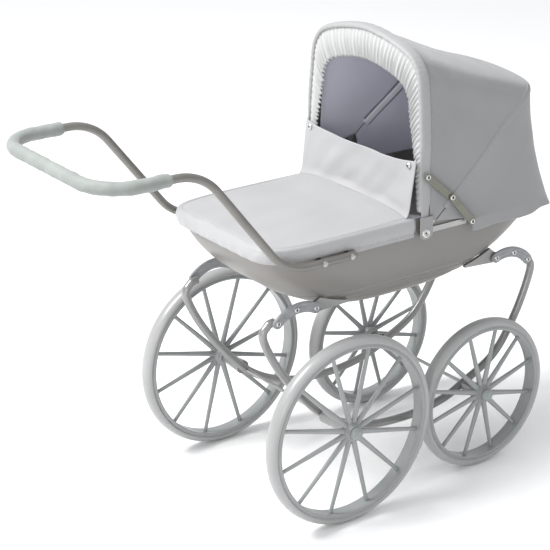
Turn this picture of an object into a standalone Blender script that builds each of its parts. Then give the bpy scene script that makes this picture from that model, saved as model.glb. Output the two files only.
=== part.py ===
"""Coach style doll pram: a moulded tub hung between two smile-shaped side bows,
four spoked wheels, a U handle, a folding hood on three bows and a fabric apron.

Lengths are in metres. +X runs from the handle towards the hood, -Y is the right side, +Z is up.
Shapes are worked out about the middle of the wheelbase, then the whole pram is carried to its place
by one empty, so that the origin sits on the floor under the middle of its overall length.
"""
import math

import bmesh
import bpy
from mathutils import Vector

for old in list(bpy.data.objects):
    bpy.data.objects.remove(old, do_unlink=True)

# ---------------------------------------------------------------- driving sizes
GAP = 0.0003                 # clearance between pieces that touch

WHEELBASE = 0.265
REAR_WHEEL_RADIUS = 0.140
FRONT_WHEEL_RADIUS = 0.116
REAR_TRACK = 0.316           # between the middles of the two rear tyres
FRONT_TRACK = 0.264
TYRE_WIDTH = 0.023
TYRE_DEPTH = 0.011
RIM_WIDTH = 0.021
RIM_DEPTH = 0.0055
SPOKES = 12
ROUND = 36                       # flats round a wheel
SPOKE_ROOT = (0.0029, 0.0036)    # half breadth and half depth at the hub
SPOKE_TIP = (0.0030, 0.0026)
SPOKE_DISH = 0.004               # how far the hub end stands outboard of the rim end
HUB_RADIUS = 0.0135
HUB_INBOARD = 0.0125
HUB_OUTBOARD = 0.0135
CAP_RADIUS = 0.0108
CAP_HEIGHT = 0.007

AXLE_RADIUS = 0.0028
BOW_TUBE_RADIUS = 0.0060
BOW_GAUGE = 0.190            # between the middles of the two side bows
BOW_LOW = 0.093
BOW_REAR_REACH = 0.234
BOW_FRONT_REACH = 0.256
BOSS_RADIUS = 0.0105

TUB_CENTRE_X = 0.010
TUB_LENGTH = 0.510
TUB_WIDTH = 0.252
TUB_DEPTH = 0.135
PLAN_POWER_LOW = 4.0         # how square the tub is in plan, at its floor and at its rim
PLAN_POWER_RIM = 8.0
TUB_WALL = 0.003
TUB_SIDES = 36
WALL_SAG = 0.0085 * TUB_WIDTH     # how far the wall's flat facets can stand inside its true curve
RIM_HEIGHT = 0.412
PAD_BOTTOM = 0.308
PAD_TOP = 0.334

STRAP_WIDTH = 0.0155
STRAP_THICKNESS = 0.0040
STRAP_RISE = 0.0105          # how far the strap arches over the line between its rivets
REAR_STRAP = ((-0.216, 0.302), (-0.152, 0.310))     # bow rivet, tub rivet
FRONT_STRAP = ((0.242, 0.293), (0.179, 0.309))
HANGER_THICKNESS = 0.0050
HANGER_LENGTH = 0.058
LUG_RADIUS = 0.0075          # round lug at a strap's rivet

HANDLE_RADIUS = 0.0050
HANDLE_REACH = 0.498         # from the middle of the wheelbase to the push bar
HANDLE_HEIGHT = 0.552
HANDLE_FOOT_HEIGHT = 0.3885
HANDLE_BEND_X = (-0.225, -0.356)   # where the slanted run meets the foot and the top run
HANDLE_BEND_RADIUS = 0.075
HANDLE_CORNER_RADIUS = 0.056
GRIP_RADIUS = 0.0103
GRIP_START_X = -0.402
BOLT_X = (-0.322 * TUB_LENGTH, -0.231 * TUB_LENGTH)
BOLT_RADIUS = 0.0020
NUT_RADIUS = 0.0042

HINGE_X = 0.015
HINGE_HEIGHT = 0.392
STRIP_WIDTH = 0.008
STRIP_THICKNESS = 0.0016
FRONT_BOW_ANGLE = 90.0       # each bow's slope, from level
MIDDLE_BOW_ANGLE = 40.5
FRONT_BOW_HEIGHT = 0.264     # from the hinge to the crown
MIDDLE_BOW_HEIGHT = 0.281
BOW_CROWN_WIDTH = 0.242      # between the shoulders
FRONT_SHOULDER = ((0.925, 0.86), (0.66, 0.948))    # shares of the half width and of the height
MIDDLE_SHOULDER = ((0.985, 0.885), (0.80, 0.968))
FRONT_LEAN = 0.45            # share of a leg's lean inwards that comes below 42 % of the height
MIDDLE_LEAN = 0.25           # upright legs, so that the folded bow clears the rim
HEM_DROP = 0.014
RIM_CLEAR = 0.0028            # between the rim and the base bow
HEM_FLARE = 0.004
FABRIC = 0.0012
BAND_FRONT = 0.009           # how far the hood reaches in front of its front bow
RUFFLE_THICKNESS = 0.0020
RUFFLE_CROWN = 0.043         # depth of the gathered edge at the crown, shoulders and legs
RUFFLE_SHOULDER = 0.021
RUFFLE_SIDE = 0.009

STRUT_WIDTH = 0.0105
STRUT_THICKNESS = 0.0016
STRUT_FRONT_ARM = 0.082      # hinge to the strut's rivet on the front bow
STRUT_REAR_ARM = 0.083       # hinge to the strut's rivet at the rim
STRUT_BEND = 4.0             # half of the elbow's bend when the hood stands open
RIVET_RADIUS = 0.0016
RIVET_HEAD = 0.0040

APRON_THICKNESS = 0.0028
APRON_FRONT_X = -0.009
SKIRT_BOTTOM = 0.3945
FLAP_HEIGHT = 0.080
FLAP_WIDTH = 0.240
FLAP_LEAN = 7.0
SNAP_RADIUS = 0.0045

# ---------------------------------------------------------------- sizes that follow
REAR_X = -WHEELBASE / 2
FRONT_X = WHEELBASE / 2
BOW_Y = BOW_GAUGE / 2
RIM_A = TUB_LENGTH / 2
RIM_B = TUB_WIDTH / 2
TUB_BOTTOM = RIM_HEIGHT - TUB_DEPTH
SKIRT_Y = RIM_B + GAP + APRON_THICKNESS
HANDLE_Y = SKIRT_Y + GAP + HANDLE_RADIUS
STRAP_Y = BOW_Y + BOW_TUBE_RADIUS + GAP + STRAP_THICKNESS / 2
HANGER_Y = STRAP_Y - STRAP_THICKNESS / 2 - GAP - HANGER_THICKNESS / 2
LAYER = STRIP_THICKNESS + 3 * GAP          # the hoops lean inwards over one another near the hinge
OVERALL_REAR = HANDLE_REACH + GRIP_RADIUS
OVERALL_FRONT = TUB_CENTRE_X + RIM_A + RIM_CLEAR + 2 * GAP + STRIP_THICKNESS + FABRIC + HEM_FLARE
FLAP_X = APRON_FRONT_X
FLAP_Z = RIM_HEIGHT + 3 * GAP + APRON_THICKNESS + 0.002

# ---------------------------------------------------------------- materials and objects
place = bpy.data.objects.new("pram_place", None)
place.location = ((OVERALL_REAR - OVERALL_FRONT) / 2, 0, 0)
bpy.context.scene.collection.objects.link(place)


def material(name, colour, roughness, metallic=0.0):
    made = bpy.data.materials.new(name)
    made.use_nodes = True
    shader = made.node_tree.nodes["Principled BSDF"]
    shader.inputs["Base Color"].default_value = (*colour, 1.0)
    shader.inputs["Roughness"].default_value = roughness
    shader.inputs["Metallic"].default_value = metallic
    made.diffuse_color = (*colour, 1.0)
    return made


CHASSIS_PAINT = material("chassis_paint", (0.33, 0.33, 0.32), 0.38, 0.55)
AXLE_STEEL = material("axle_steel", (0.42, 0.42, 0.42), 0.3, 1.0)
WHEEL_PLASTIC = material("wheel_plastic", (0.44, 0.45, 0.45), 0.42)
TYRE_PLASTIC = material("tyre_plastic", (0.47, 0.47, 0.46), 0.45)
CAP_PLASTIC = material("cap_plastic", (0.42, 0.44, 0.44), 0.3)
TUB_PLASTIC = material("tub_plastic", (0.30, 0.29, 0.27), 0.45)
PAD_FABRIC = material("pad_fabric", (0.52, 0.52, 0.56), 0.85)
HANDLE_PAINT = material("handle_paint", (0.31, 0.30, 0.28), 0.4, 0.5)
GRIP_FOAM = material("grip_foam", (0.43, 0.46, 0.44), 0.7)
BOLT_STEEL = material("bolt_steel", (0.5, 0.5, 0.48), 0.28, 1.0)
BOW_STEEL = material("bow_steel", (0.35, 0.35, 0.34), 0.4, 0.9)
HOOD_FABRIC = material("hood_fabric", (0.66, 0.66, 0.66), 0.6)
RUFFLE_FABRIC = material("ruffle_fabric", (0.70, 0.70, 0.71), 0.65)
STRUT_STEEL = material("strut_steel", (0.25, 0.25, 0.21), 0.4, 0.8)
APRON_FABRIC = material("apron_fabric", (0.68, 0.68, 0.70), 0.6)
SNAP_METAL = material("snap_metal", (0.42, 0.42, 0.43), 0.35, 1.0)
STRAP_PLASTIC = material("strap_plastic", (0.27, 0.28, 0.28), 0.5)


def put(name, mesh, look, at=(0, 0, 0), turned=False):
    """Add one piece. Turned pieces face the other side of the pram."""
    piece = bpy.data.objects.new(name, mesh)
    if not mesh.materials:
        mesh.materials.append(look)
    piece.location = at
    piece.rotation_euler = (math.pi if turned else 0, 0, 0)
    piece.parent = place
    bpy.context.scene.collection.objects.link(piece)
    return piece


def mesh_of(name, points, faces, smooth=True):
    """A mesh with its faces turned outward."""
    mesh = bpy.data.meshes.new(name)
    mesh.from_pydata([tuple(p) for p in points], [], faces)
    work = bmesh.new()
    work.from_mesh(mesh)
    bmesh.ops.recalc_face_normals(work, faces=work.faces)
    work.to_mesh(mesh)
    work.free()
    if smooth:
        mesh.shade_smooth()
    return mesh


def carve(piece, cutter, operation="DIFFERENCE"):
    """Join or cut with another solid and drop the other solid."""
    bpy.context.view_layer.objects.active = piece
    step = piece.modifiers.new("cut", "BOOLEAN")
    step.operation = operation
    step.solver = "EXACT"
    step.object = cutter
    bpy.context.view_layer.update()
    graph = bpy.context.evaluated_depsgraph_get()
    done = bpy.data.meshes.new_from_object(piece.evaluated_get(graph))
    piece.modifiers.clear()
    piece.data = done
    bpy.data.objects.remove(cutter, do_unlink=True)


# ---------------------------------------------------------------- shapes
def lathe(name, outline, sides):
    """Turn a closed outline of (radius, y) about Y."""
    points = []
    for i in range(sides):
        a = 2 * math.pi * i / sides
        points += [(r * math.cos(a), y, r * math.sin(a)) for r, y in outline]
    n = len(outline)
    faces = []
    for i in range(sides):
        j = (i + 1) % sides
        for k in range(n):
            m = (k + 1) % n
            faces.append((i * n + k, i * n + m, j * n + m, j * n + k))
    return mesh_of(name, points, faces)


def domed(name, outline, sides):
    """Turn an open outline of (radius, y) about Y, closed by a point on the axis at each end."""
    ring = outline[1:-1]
    n = len(ring)
    points = [(0, outline[0][1], 0), (0, outline[-1][1], 0)]
    for i in range(sides):
        a = 2 * math.pi * i / sides
        points += [(r * math.cos(a), y, r * math.sin(a)) for r, y in ring]
    faces = []
    for i in range(sides):
        j = (i + 1) % sides
        here = 2 + i * n
        there = 2 + j * n
        faces.append((0, here, there))
        faces.append((1, there + n - 1, here + n - 1))
        for k in range(n - 1):
            faces.append((here + k, here + k + 1, there + k + 1, there + k))
    return mesh_of(name, points, faces)


def rounded(corners, radii, steps):
    """A path through the corners with each inner corner rounded to its radius."""
    path = [Vector(corners[0])]
    for before, corner, after, radius in zip(corners, corners[1:], corners[2:], radii):
        corner = Vector(corner)
        back = (Vector(before) - corner).normalized()
        on = (Vector(after) - corner).normalized()
        half = back.angle(on) / 2
        centre = corner + (back + on).normalized() * radius / math.sin(half)
        start = corner + back * radius / math.tan(half) - centre
        end = corner + on * radius / math.tan(half) - centre
        for i in range(steps + 1):
            path.append(centre + start.slerp(end, i / steps).normalized() * radius)
    path.append(Vector(corners[-1]))
    return path


def spline(points, steps):
    """A smooth path through the points."""
    points = [Vector(p) for p in points]
    ends = [2 * points[0] - points[1]] + points + [2 * points[-1] - points[-2]]
    path = []
    for a, b, c, d in zip(ends, ends[1:], ends[2:], ends[3:]):
        for i in range(steps):
            t = i / steps
            path.append(b + (c - a) * t / 2 + (2 * a - 5 * b + 4 * c - d) * t * t / 2
                        + (3 * b - a - 3 * c + d) * t ** 3 / 2)
    path.append(points[-1])
    return path


def frames(path, normal):
    """The path's points with two axes square to it. The first starts along the given normal."""
    found = []
    side = Vector(normal)
    for i, point in enumerate(path):
        along = (path[min(i + 1, len(path) - 1)] - path[max(i - 1, 0)]).normalized()
        side = (side - along * side.dot(along)).normalized()
        found.append((point, side, along.cross(side)))
    return found


def swept(name, path, section, normal, bore=0.0, smooth=True):
    """Carry a closed section of (across, up) along a path, with a round bore if one is given."""
    n = len(section)
    points = []
    count = len(path)
    loops = [section]
    if bore:
        loops.append(circle(bore, n))
    for loop in loops:
        for point, side, up in frames(path, normal):
            points += [point + side * a + up * b for a, b in loop]
    faces = []
    for first in range(0, count * n * len(loops), count * n):
        for i in range(count - 1):
            for k in range(n):
                m = (k + 1) % n
                row = first + i * n
                faces.append((row + k, row + m, row + n + m, row + n + k))
    last = (count - 1) * n
    if bore:
        inner = count * n
        for k in range(n):
            m = (k + 1) % n
            faces.append((k, m, inner + m, inner + k))
            faces.append((last + k, last + m, inner + last + m, inner + last + k))
    else:
        faces.append(tuple(range(n)))
        faces.append(tuple(range(last, last + n)))
    return mesh_of(name, points, faces, smooth)


def circle(radius, sides):
    """A round section whose flats lie at the radius."""
    corner = radius / math.cos(math.pi / sides)
    turn = math.pi / sides
    return [(corner * math.cos(turn + 2 * math.pi * i / sides),
             corner * math.sin(turn + 2 * math.pi * i / sides)) for i in range(sides)]


def plate(name, outline, low, high):
    """Extrude an outline of (x, z) from y = low to y = high."""
    n = len(outline)
    points = [(x, low, z) for x, z in outline] + [(x, high, z) for x, z in outline]
    faces = [tuple(range(n)), tuple(range(2 * n - 1, n - 1, -1))]
    faces += [(k, (k + 1) % n, n + (k + 1) % n, n + k) for k in range(n)]
    return mesh_of(name, points, faces, smooth=False)


def round_end(centre, toward, radius, steps=6):
    """Half a circle about a point, open towards another point."""
    angle = math.atan2(centre[1] - toward[1], centre[0] - toward[0])
    return [(centre[0] + radius * math.cos(angle + math.pi * (i / steps - 0.5)),
             centre[1] + radius * math.sin(angle + math.pi * (i / steps - 0.5)))
            for i in range(steps + 1)]


def drill(piece, at, radius, reach):
    """Bore a round hole along Y through a piece."""
    cutter = bpy.data.objects.new("cutter", swept("cutter", [
        Vector((at[0], at[1] - reach, at[2])), Vector((at[0], at[1] + reach, at[2]))],
        circle(radius, 8), (1, 0, 0)))
    cutter.parent = place
    bpy.context.scene.collection.objects.link(cutter)
    carve(piece, cutter)


# ---------------------------------------------------------------- wheels
def wheel_mesh(name, radius):
    """Rim, spokes and hub in one moulding. Its outboard face looks along +Y."""
    outer = radius - TYRE_DEPTH
    inner = outer - RIM_DEPTH
    w = RIM_WIDTH / 2
    rim = put(name, lathe(name, [
        (outer, -w), (outer, w), (inner + 0.0015, w), (inner, w * 0.6),
        (inner, -w * 0.6), (inner + 0.0015, -w)], ROUND),
        WHEEL_PLASTIC)
    bore = (AXLE_RADIUS + GAP) / math.cos(math.pi / 20)
    hub = put("hub", lathe("hub", [
        (bore, -HUB_INBOARD), (bore, HUB_OUTBOARD), (CAP_RADIUS, HUB_OUTBOARD),
        (HUB_RADIUS, HUB_OUTBOARD - 0.004), (HUB_RADIUS, -HUB_INBOARD + 0.006),
        (HUB_RADIUS - 0.003, -HUB_INBOARD)], 20), WHEEL_PLASTIC)
    for i in range(SPOKES):
        a = 2 * math.pi * (i + 0.5) / SPOKES
        out = Vector((math.cos(a), 0, math.sin(a)))
        across = Vector((-math.sin(a), 0, math.cos(a)))
        points = []
        for reach, y, (b, d) in ((HUB_RADIUS * 0.85, SPOKE_DISH, SPOKE_ROOT),
                                 (inner + RIM_DEPTH * 0.55, 0.0, SPOKE_TIP)):
            for k in range(6):
                t = math.pi / 3 * k
                points.append(out * reach + across * b * math.cos(t)
                              + Vector((0, y + d * math.sin(t), 0)))
        faces = [tuple(range(6)), tuple(range(6, 12))]
        faces += [(k, (k + 1) % 6, 6 + (k + 1) % 6, 6 + k) for k in range(6)]
        carve(hub, put("spoke", mesh_of("spoke", points, faces), WHEEL_PLASTIC), "UNION")
    carve(rim, hub, "UNION")
    done = rim.data
    bpy.data.objects.remove(rim, do_unlink=True)
    done.shade_smooth()
    return done


def tyre_mesh(name, radius):
    """A rounded tyre seated on the rim."""
    seat = (radius - TYRE_DEPTH + GAP) / math.cos(math.pi / ROUND)
    w = TYRE_WIDTH / 2
    return lathe(name, [
        (seat, -w * 0.9), (radius - 0.005, -w), (radius, -w * 0.5),
        (radius, w * 0.5), (radius - 0.005, w), (seat, w * 0.9)], ROUND)


def cap_mesh():
    """A domed cap that closes the hub's outboard end."""
    y = HUB_OUTBOARD + GAP
    r = CAP_RADIUS - 0.0008
    return domed("hub_cap", [(0, y), (r, y), (r, y + CAP_HEIGHT * 0.35),
                             (r * 0.72, y + CAP_HEIGHT * 0.82), (0, y + CAP_HEIGHT)], 12)


def wheels():
    cap = cap_mesh()
    for end, x, radius, track in (("rear", REAR_X, REAR_WHEEL_RADIUS, REAR_TRACK),
                                  ("front", FRONT_X, FRONT_WHEEL_RADIUS, FRONT_TRACK)):
        wheel = wheel_mesh(end + "_wheel", radius)
        tyre = tyre_mesh(end + "_tyre", radius)
        for hand, side in (("left", 1), ("right", -1)):
            at = (x, side * track / 2, radius)
            put(f"{end}_wheel_{hand}", wheel, WHEEL_PLASTIC, at, side < 0)
            put(f"{end}_tyre_{hand}", tyre, TYRE_PLASTIC, at, side < 0)
            put(f"{end}_hub_cap_{hand}", cap, CAP_PLASTIC, at, side < 0)


# ---------------------------------------------------------------- chassis
def axles():
    for end, x, radius, track in (("rear", REAR_X, REAR_WHEEL_RADIUS, REAR_TRACK),
                                  ("front", FRONT_X, FRONT_WHEEL_RADIUS, FRONT_TRACK)):
        reach = track / 2 + HUB_OUTBOARD - 0.001
        path = [Vector((0, -reach, 0)), Vector((0, reach, 0))]
        rod = swept(end + "_axle", path, circle(AXLE_RADIUS * math.cos(math.pi / 8), 8), (1, 0, 0))
        put(end + "_axle", rod, AXLE_STEEL, (x, 0, radius))
        bore = (AXLE_RADIUS + GAP) / math.cos(math.pi / 12)
        inboard = BOW_Y + BOW_TUBE_RADIUS + 2 * GAP
        outboard = track / 2 - HUB_INBOARD - GAP
        boss = lathe(end + "_axle_boss", [
            (bore, inboard), (bore, outboard), (HUB_RADIUS - 0.006, outboard),
            (BOSS_RADIUS, inboard + 0.003), (BOSS_RADIUS, inboard)], 12)
        for hand, side in (("left", 1), ("right", -1)):
            put(f"{end}_axle_boss_{hand}", boss, CHASSIS_PAINT, (x, 0, radius), side < 0)


def side_bows():
    """One bent tube each side. Both axles pass through it and its ends curl over to the straps."""
    (rear_end, _), (front_end, _) = REAR_STRAP, FRONT_STRAP
    outline = [
        rear_end,
        (-BOW_REAR_REACH + 0.006, rear_end[1] - 0.004),
        (-BOW_REAR_REACH, rear_end[1] - 0.024),
        (-0.200, 0.216),
        (REAR_X, REAR_WHEEL_RADIUS),
        (-0.060, BOW_LOW + 0.0095),
        (0.020, BOW_LOW),
        (FRONT_X - 0.045, BOW_LOW + 0.0075),
        (FRONT_X, FRONT_WHEEL_RADIUS + 0.002),
        (0.192, 0.151),
        (0.232, 0.208),
        (BOW_FRONT_REACH, front_end[1] - 0.026),
        (BOW_FRONT_REACH - 0.003, front_end[1] - 0.007),
        front_end]
    path = spline([(x, 0, z) for x, z in outline], 3)
    for hand, side in (("left", 1), ("right", -1)):
        tube = swept("side_bow_" + hand, path, circle(BOW_TUBE_RADIUS, 8), (0, 1, 0))
        bow = put("side_bow_" + hand, tube, CHASSIS_PAINT, (0, side * BOW_Y, 0))
        for x, z in ((REAR_X, REAR_WHEEL_RADIUS), (FRONT_X, FRONT_WHEEL_RADIUS)):
            drill(bow, (x, side * BOW_Y, z), AXLE_RADIUS + GAP, 0.02)


def strap_outline(bow_rivet, tub_rivet):
    """The strap arches from the bow's end over to the tub's hanger, with round ends."""
    a = Vector(bow_rivet)
    b = Vector(tub_rivet)
    chord = (b - a).length
    radius = chord * chord / (8 * STRAP_RISE) + STRAP_RISE / 2
    drop = Vector((-(b - a).y, (b - a).x)).normalized()
    if drop.y > 0:
        drop = -drop
    centre = (a + b) / 2 + drop * (radius - STRAP_RISE)
    start = math.atan2(a.y - centre.y, a.x - centre.x)
    end = math.atan2(b.y - centre.y, b.x - centre.x)
    h = STRAP_WIDTH / 2
    outer = []
    inner = []
    for i in range(9):
        t = start + (end - start) * i / 8
        ray = Vector((math.cos(t), math.sin(t)))
        outer.append(centre + ray * (radius + h))
        inner.append(centre + ray * (radius - h))
    tail = [b + (outer[-1] - b) * math.cos(t) + (inner[-1] - outer[-1]).orthogonal().normalized()
            * h * math.sin(t) * (-1 if b.x < a.x else 1) for t in (0.6, 1.2, 1.9, 2.5)]
    nose = [a + (inner[0] - a) * math.cos(t) + (inner[0] - outer[0]).orthogonal().normalized()
            * h * math.sin(t) * (1 if b.x < a.x else -1) for t in (0.6, 1.2, 1.9, 2.5)]
    return outer, tail, inner[::-1], nose, centre, radius, (start + end) / 2


def straps():
    """Curved straps that hang the tub from the ends of the side bows, each with its three rivets."""
    for end, (bow_rivet, tub_rivet) in (("rear", REAR_STRAP), ("front", FRONT_STRAP)):
        outer, tail, inner, nose, centre, radius, middle = strap_outline(bow_rivet, tub_rivet)
        outline = [tuple(p) for p in outer + tail + inner + nose]
        third = centre + Vector((math.cos(middle), math.sin(middle))) * (radius - 0.001)
        for hand, side in (("left", 1), ("right", -1)):
            face = side * (STRAP_Y + STRAP_THICKNESS / 2)
            back = side * (STRAP_Y - STRAP_THICKNESS / 2)
            name = f"{end}_strap_{hand}"
            strap = put(name, plate(name, outline, min(face, back), max(face, back)), STRAP_PLASTIC)
            for x, z in (bow_rivet, tub_rivet, tuple(third)):
                y = face - side * 0.001
                top = side * 0.0024
                head = put("head", domed("head", [
                    (0, y), (0.0042, y), (0.0042, y + top * 0.5), (0.0022, y + top), (0, y + top)], 8),
                    STRAP_PLASTIC, (x, 0, z))
                carve(strap, head, "UNION")


def hull_size(height, inset=0.0):
    """Half length and half width of the tub's outside at a height, less an inset."""
    rise = 1 - min(max((height - TUB_BOTTOM) / TUB_DEPTH, 0.0), 1.0)
    swell = 1 - rise * rise
    return RIM_A * swell ** 0.5 - inset, RIM_B * swell ** 0.25 - inset


def plan_power(height):
    rise = min(max((height - TUB_BOTTOM) / TUB_DEPTH, 0.0), 1.0)
    return PLAN_POWER_LOW + (PLAN_POWER_RIM - PLAN_POWER_LOW) * rise ** 4


def wall_at(x, height):
    """Half width of the tub's outside at a place along its length."""
    a, b = hull_size(height)
    power = plan_power(height)
    return b * (1 - abs((x - TUB_CENTRE_X) / a) ** power) ** (1 / power)


def squared(t, power):
    """The two shares of a superellipse's half sizes at an angle."""
    c = math.cos(t)
    s = math.sin(t)
    return math.copysign(abs(c) ** (2 / power), c), math.copysign(abs(s) ** (2 / power), s)


def hull_height(x, y):
    """How high the tub's outside stands over a place on the floor."""
    low = TUB_BOTTOM + 0.0001
    high = RIM_HEIGHT
    for _ in range(40):
        middle = (low + high) / 2
        a, b = hull_size(middle)
        power = plan_power(middle)
        inside = abs((x - TUB_CENTRE_X) / a) ** power + abs(y / b) ** power < 1
        low, high = (low, middle) if inside else (middle, high)
    return high


def hangers():
    """Wedge-shaped bars under the tub that the straps are riveted to."""
    for end, (_, (x, z)) in (("rear", REAR_STRAP), ("front", FRONT_STRAP)):
        way = 1 if x < TUB_CENTRE_X else -1
        lug = [(x - way * LUG_RADIUS * math.sin(math.radians(turn)),
                z - LUG_RADIUS * math.cos(math.radians(turn))) for turn in range(0, 181, 30)]
        edge = HANGER_Y + HANGER_THICKNESS / 2
        top = []
        for i in range(7):
            along = x + way * (0.010 + (HANGER_LENGTH - 0.010) * i / 6)
            inner = min(hull_height(along, edge - HANGER_THICKNESS), hull_height(along, edge))
            top.append((along, inner - GAP))
        tip = (top[-1][0], top[-1][1] - 0.0035)
        outline = [tip] + lug + top
        for hand, side in (("left", 1), ("right", -1)):
            name = f"{end}_hanger_{hand}"
            y = side * HANGER_Y
            bar = plate(name, outline, y - HANGER_THICKNESS / 2, y + HANGER_THICKNESS / 2)
            put(name, bar, CHASSIS_PAINT)


# ---------------------------------------------------------------- tub and pad
def hull_ring(height, inset, sides):
    a, b = hull_size(height, inset)
    ring = []
    for i in range(sides):
        c, s = squared(2 * math.pi * i / sides, plan_power(height))
        ring.append(Vector((TUB_CENTRE_X + a * c, b * s, height)))
    return ring


def stacked(name, rings):
    """Skin a stack of rings and close the first and last."""
    n = len(rings[0])
    points = [p for ring in rings for p in ring]
    faces = [tuple(range(n)), tuple(range(len(points) - n, len(points)))]
    for i in range(len(rings) - 1):
        for k in range(n):
            m = (k + 1) % n
            faces.append((i * n + k, i * n + m, i * n + n + m, i * n + n + k))
    return mesh_of(name, points, faces)


def tub():
    """A boat-shaped moulded tub, open at the top."""
    steps = (0.03, 0.09, 0.18, 0.31, 0.47, 0.66, 0.84)
    outside = [hull_ring(TUB_BOTTOM + TUB_DEPTH * s, 0.0, TUB_SIDES) for s in steps]
    for p in outside[0]:
        p.z = TUB_BOTTOM
    outside.append(hull_ring(RIM_HEIGHT, 0.0, TUB_SIDES))
    inside = [hull_ring(TUB_BOTTOM + TUB_DEPTH * s + TUB_WALL * (1 - s), TUB_WALL, TUB_SIDES)
              for s in steps]
    for p in inside[0]:
        p.z = TUB_BOTTOM + TUB_WALL
    inside.append(hull_ring(RIM_HEIGHT, TUB_WALL, TUB_SIDES))
    shell = put("tub", stacked("tub", outside + inside[::-1]), TUB_PLASTIC)
    for side in (1, -1):
        for x in BOLT_X:
            drill(shell, (x, side * RIM_B, HANDLE_FOOT_HEIGHT), BOLT_RADIUS + GAP, 0.02)
        for x, z in ((HINGE_X, HINGE_HEIGHT), strut_foot()):
            drill(shell, (x, side * RIM_B, z), RIVET_RADIUS + GAP, 0.02)


def pad():
    """A flat pad that lies in the tub."""
    heights = (PAD_BOTTOM, PAD_BOTTOM + 0.006, PAD_TOP - 0.004, PAD_TOP)
    insets = (0.007, 0.0045, 0.0045, 0.008)
    rings = [hull_ring(h, TUB_WALL + e, TUB_SIDES) for h, e in zip(heights, insets)]
    put("mattress", stacked("mattress", rings), PAD_FABRIC)


# ---------------------------------------------------------------- handle
def handle_path():
    half = [(BOLT_X[1] + 0.008, HANDLE_FOOT_HEIGHT), (HANDLE_BEND_X[0], HANDLE_FOOT_HEIGHT),
            (HANDLE_BEND_X[1], HANDLE_HEIGHT), (-HANDLE_REACH, HANDLE_HEIGHT)]
    right = [(x, -HANDLE_Y, z) for x, z in half]
    left = [(x, HANDLE_Y, z) for x, z in reversed(half)]
    bends = [HANDLE_BEND_RADIUS, HANDLE_BEND_RADIUS, HANDLE_CORNER_RADIUS,
             HANDLE_CORNER_RADIUS, HANDLE_BEND_RADIUS, HANDLE_BEND_RADIUS]
    return rounded(right + left, bends, 5)


def handle():
    """A bent push handle with a foam grip round its U."""
    path = handle_path()
    tube = put("handle_tube", swept("handle_tube", path, circle(HANDLE_RADIUS, 8), (0, 1, 0)),
               HANDLE_PAINT)
    for side in (1, -1):
        for x in BOLT_X:
            drill(tube, (x, side * HANDLE_Y, HANDLE_FOOT_HEIGHT), BOLT_RADIUS + GAP, 0.02)
    level = [p for p in path if p.x < GRIP_START_X]
    start = Vector((GRIP_START_X, -HANDLE_Y, HANDLE_HEIGHT))
    end = Vector((GRIP_START_X, HANDLE_Y, HANDLE_HEIGHT))
    grip = swept("handle_grip", [start] + level + [end],
                 circle(GRIP_RADIUS * math.cos(math.pi / 10), 10), (0, 0, 1), HANDLE_RADIUS + 2 * GAP)
    put("handle_grip", grip, GRIP_FOAM)


def bolts():
    """Bolts through the handle's feet and the tub's side, with a spacer between and a nut inside."""
    out = HANDLE_Y + HANDLE_RADIUS + 2 * GAP
    near = HANDLE_Y - HANDLE_RADIUS - 2 * GAP
    shank = BOLT_RADIUS
    for which, x in zip(("rear", "front"), BOLT_X):
        skin = wall_at(x, HANDLE_FOOT_HEIGHT + NUT_RADIUS) + 2 * GAP
        nut = wall_at(x, HANDLE_FOOT_HEIGHT - NUT_RADIUS) - TUB_WALL - WALL_SAG
        bolt = domed(which + "_handle_bolt", [
            (0, nut - 0.003), (NUT_RADIUS, nut - 0.003), (NUT_RADIUS, nut), (shank, nut), (shank, skin),
            (NUT_RADIUS, skin), (NUT_RADIUS, near), (shank, near), (shank, out), (0.0045, out),
            (0.0040, out + 0.0018), (0.0022, out + 0.0026), (0, out + 0.0026)], 8)
        for hand, side in (("left", 1), ("right", -1)):
            put(f"{which}_handle_bolt_{hand}", bolt, BOLT_STEEL, (x, 0, HANDLE_FOOT_HEIGHT), side < 0)


# ---------------------------------------------------------------- hood
LAYER_BASE = wall_at(HINGE_X, HINGE_HEIGHT) + 2 * GAP + STRIP_THICKNESS / 2
LAYER_MIDDLE = LAYER_BASE + LAYER
LAYER_FRONT = LAYER_MIDDLE + LAYER
FABRIC_INSIDE = LAYER_FRONT + STRIP_THICKNESS / 2 + GAP
STRUT_INNER_Y = FABRIC_INSIDE + FABRIC + 2 * GAP + STRUT_THICKNESS / 2
STRUT_OUTER_Y = STRUT_INNER_Y + STRUT_THICKNESS + GAP
BASE_REACH = RIM_CLEAR + STRIP_THICKNESS       # from the rim to the base bow's outer face


def arch(angle, crown, half, foot, lean, shoulder):
    """Half hoop in a plane through the hinge: points from the right foot over to the left."""
    outline = [(foot, 0.0), (foot - lean * (foot - half), crown * 0.42), (half, crown * 0.70)]
    outline += [(half * across, crown * up) for across, up in shoulder] + [(0, crown)]
    outline += [(-y, r) for y, r in outline[-2::-1]]
    c = math.cos(math.radians(angle))
    s = math.sin(math.radians(angle))
    return spline([(HINGE_X + r * c, -y, HINGE_HEIGHT + r * s) for y, r in outline], 3)


def front_hoop(spread):
    return arch(FRONT_BOW_ANGLE, FRONT_BOW_HEIGHT + spread, BOW_CROWN_WIDTH / 2 + spread,
                LAYER_FRONT + spread, FRONT_LEAN, FRONT_SHOULDER)


def middle_hoop(spread, layer):
    return arch(MIDDLE_BOW_ANGLE, MIDDLE_BOW_HEIGHT + spread, BOW_CROWN_WIDTH / 2 + spread,
                layer + spread, MIDDLE_LEAN, MIDDLE_SHOULDER)


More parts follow.
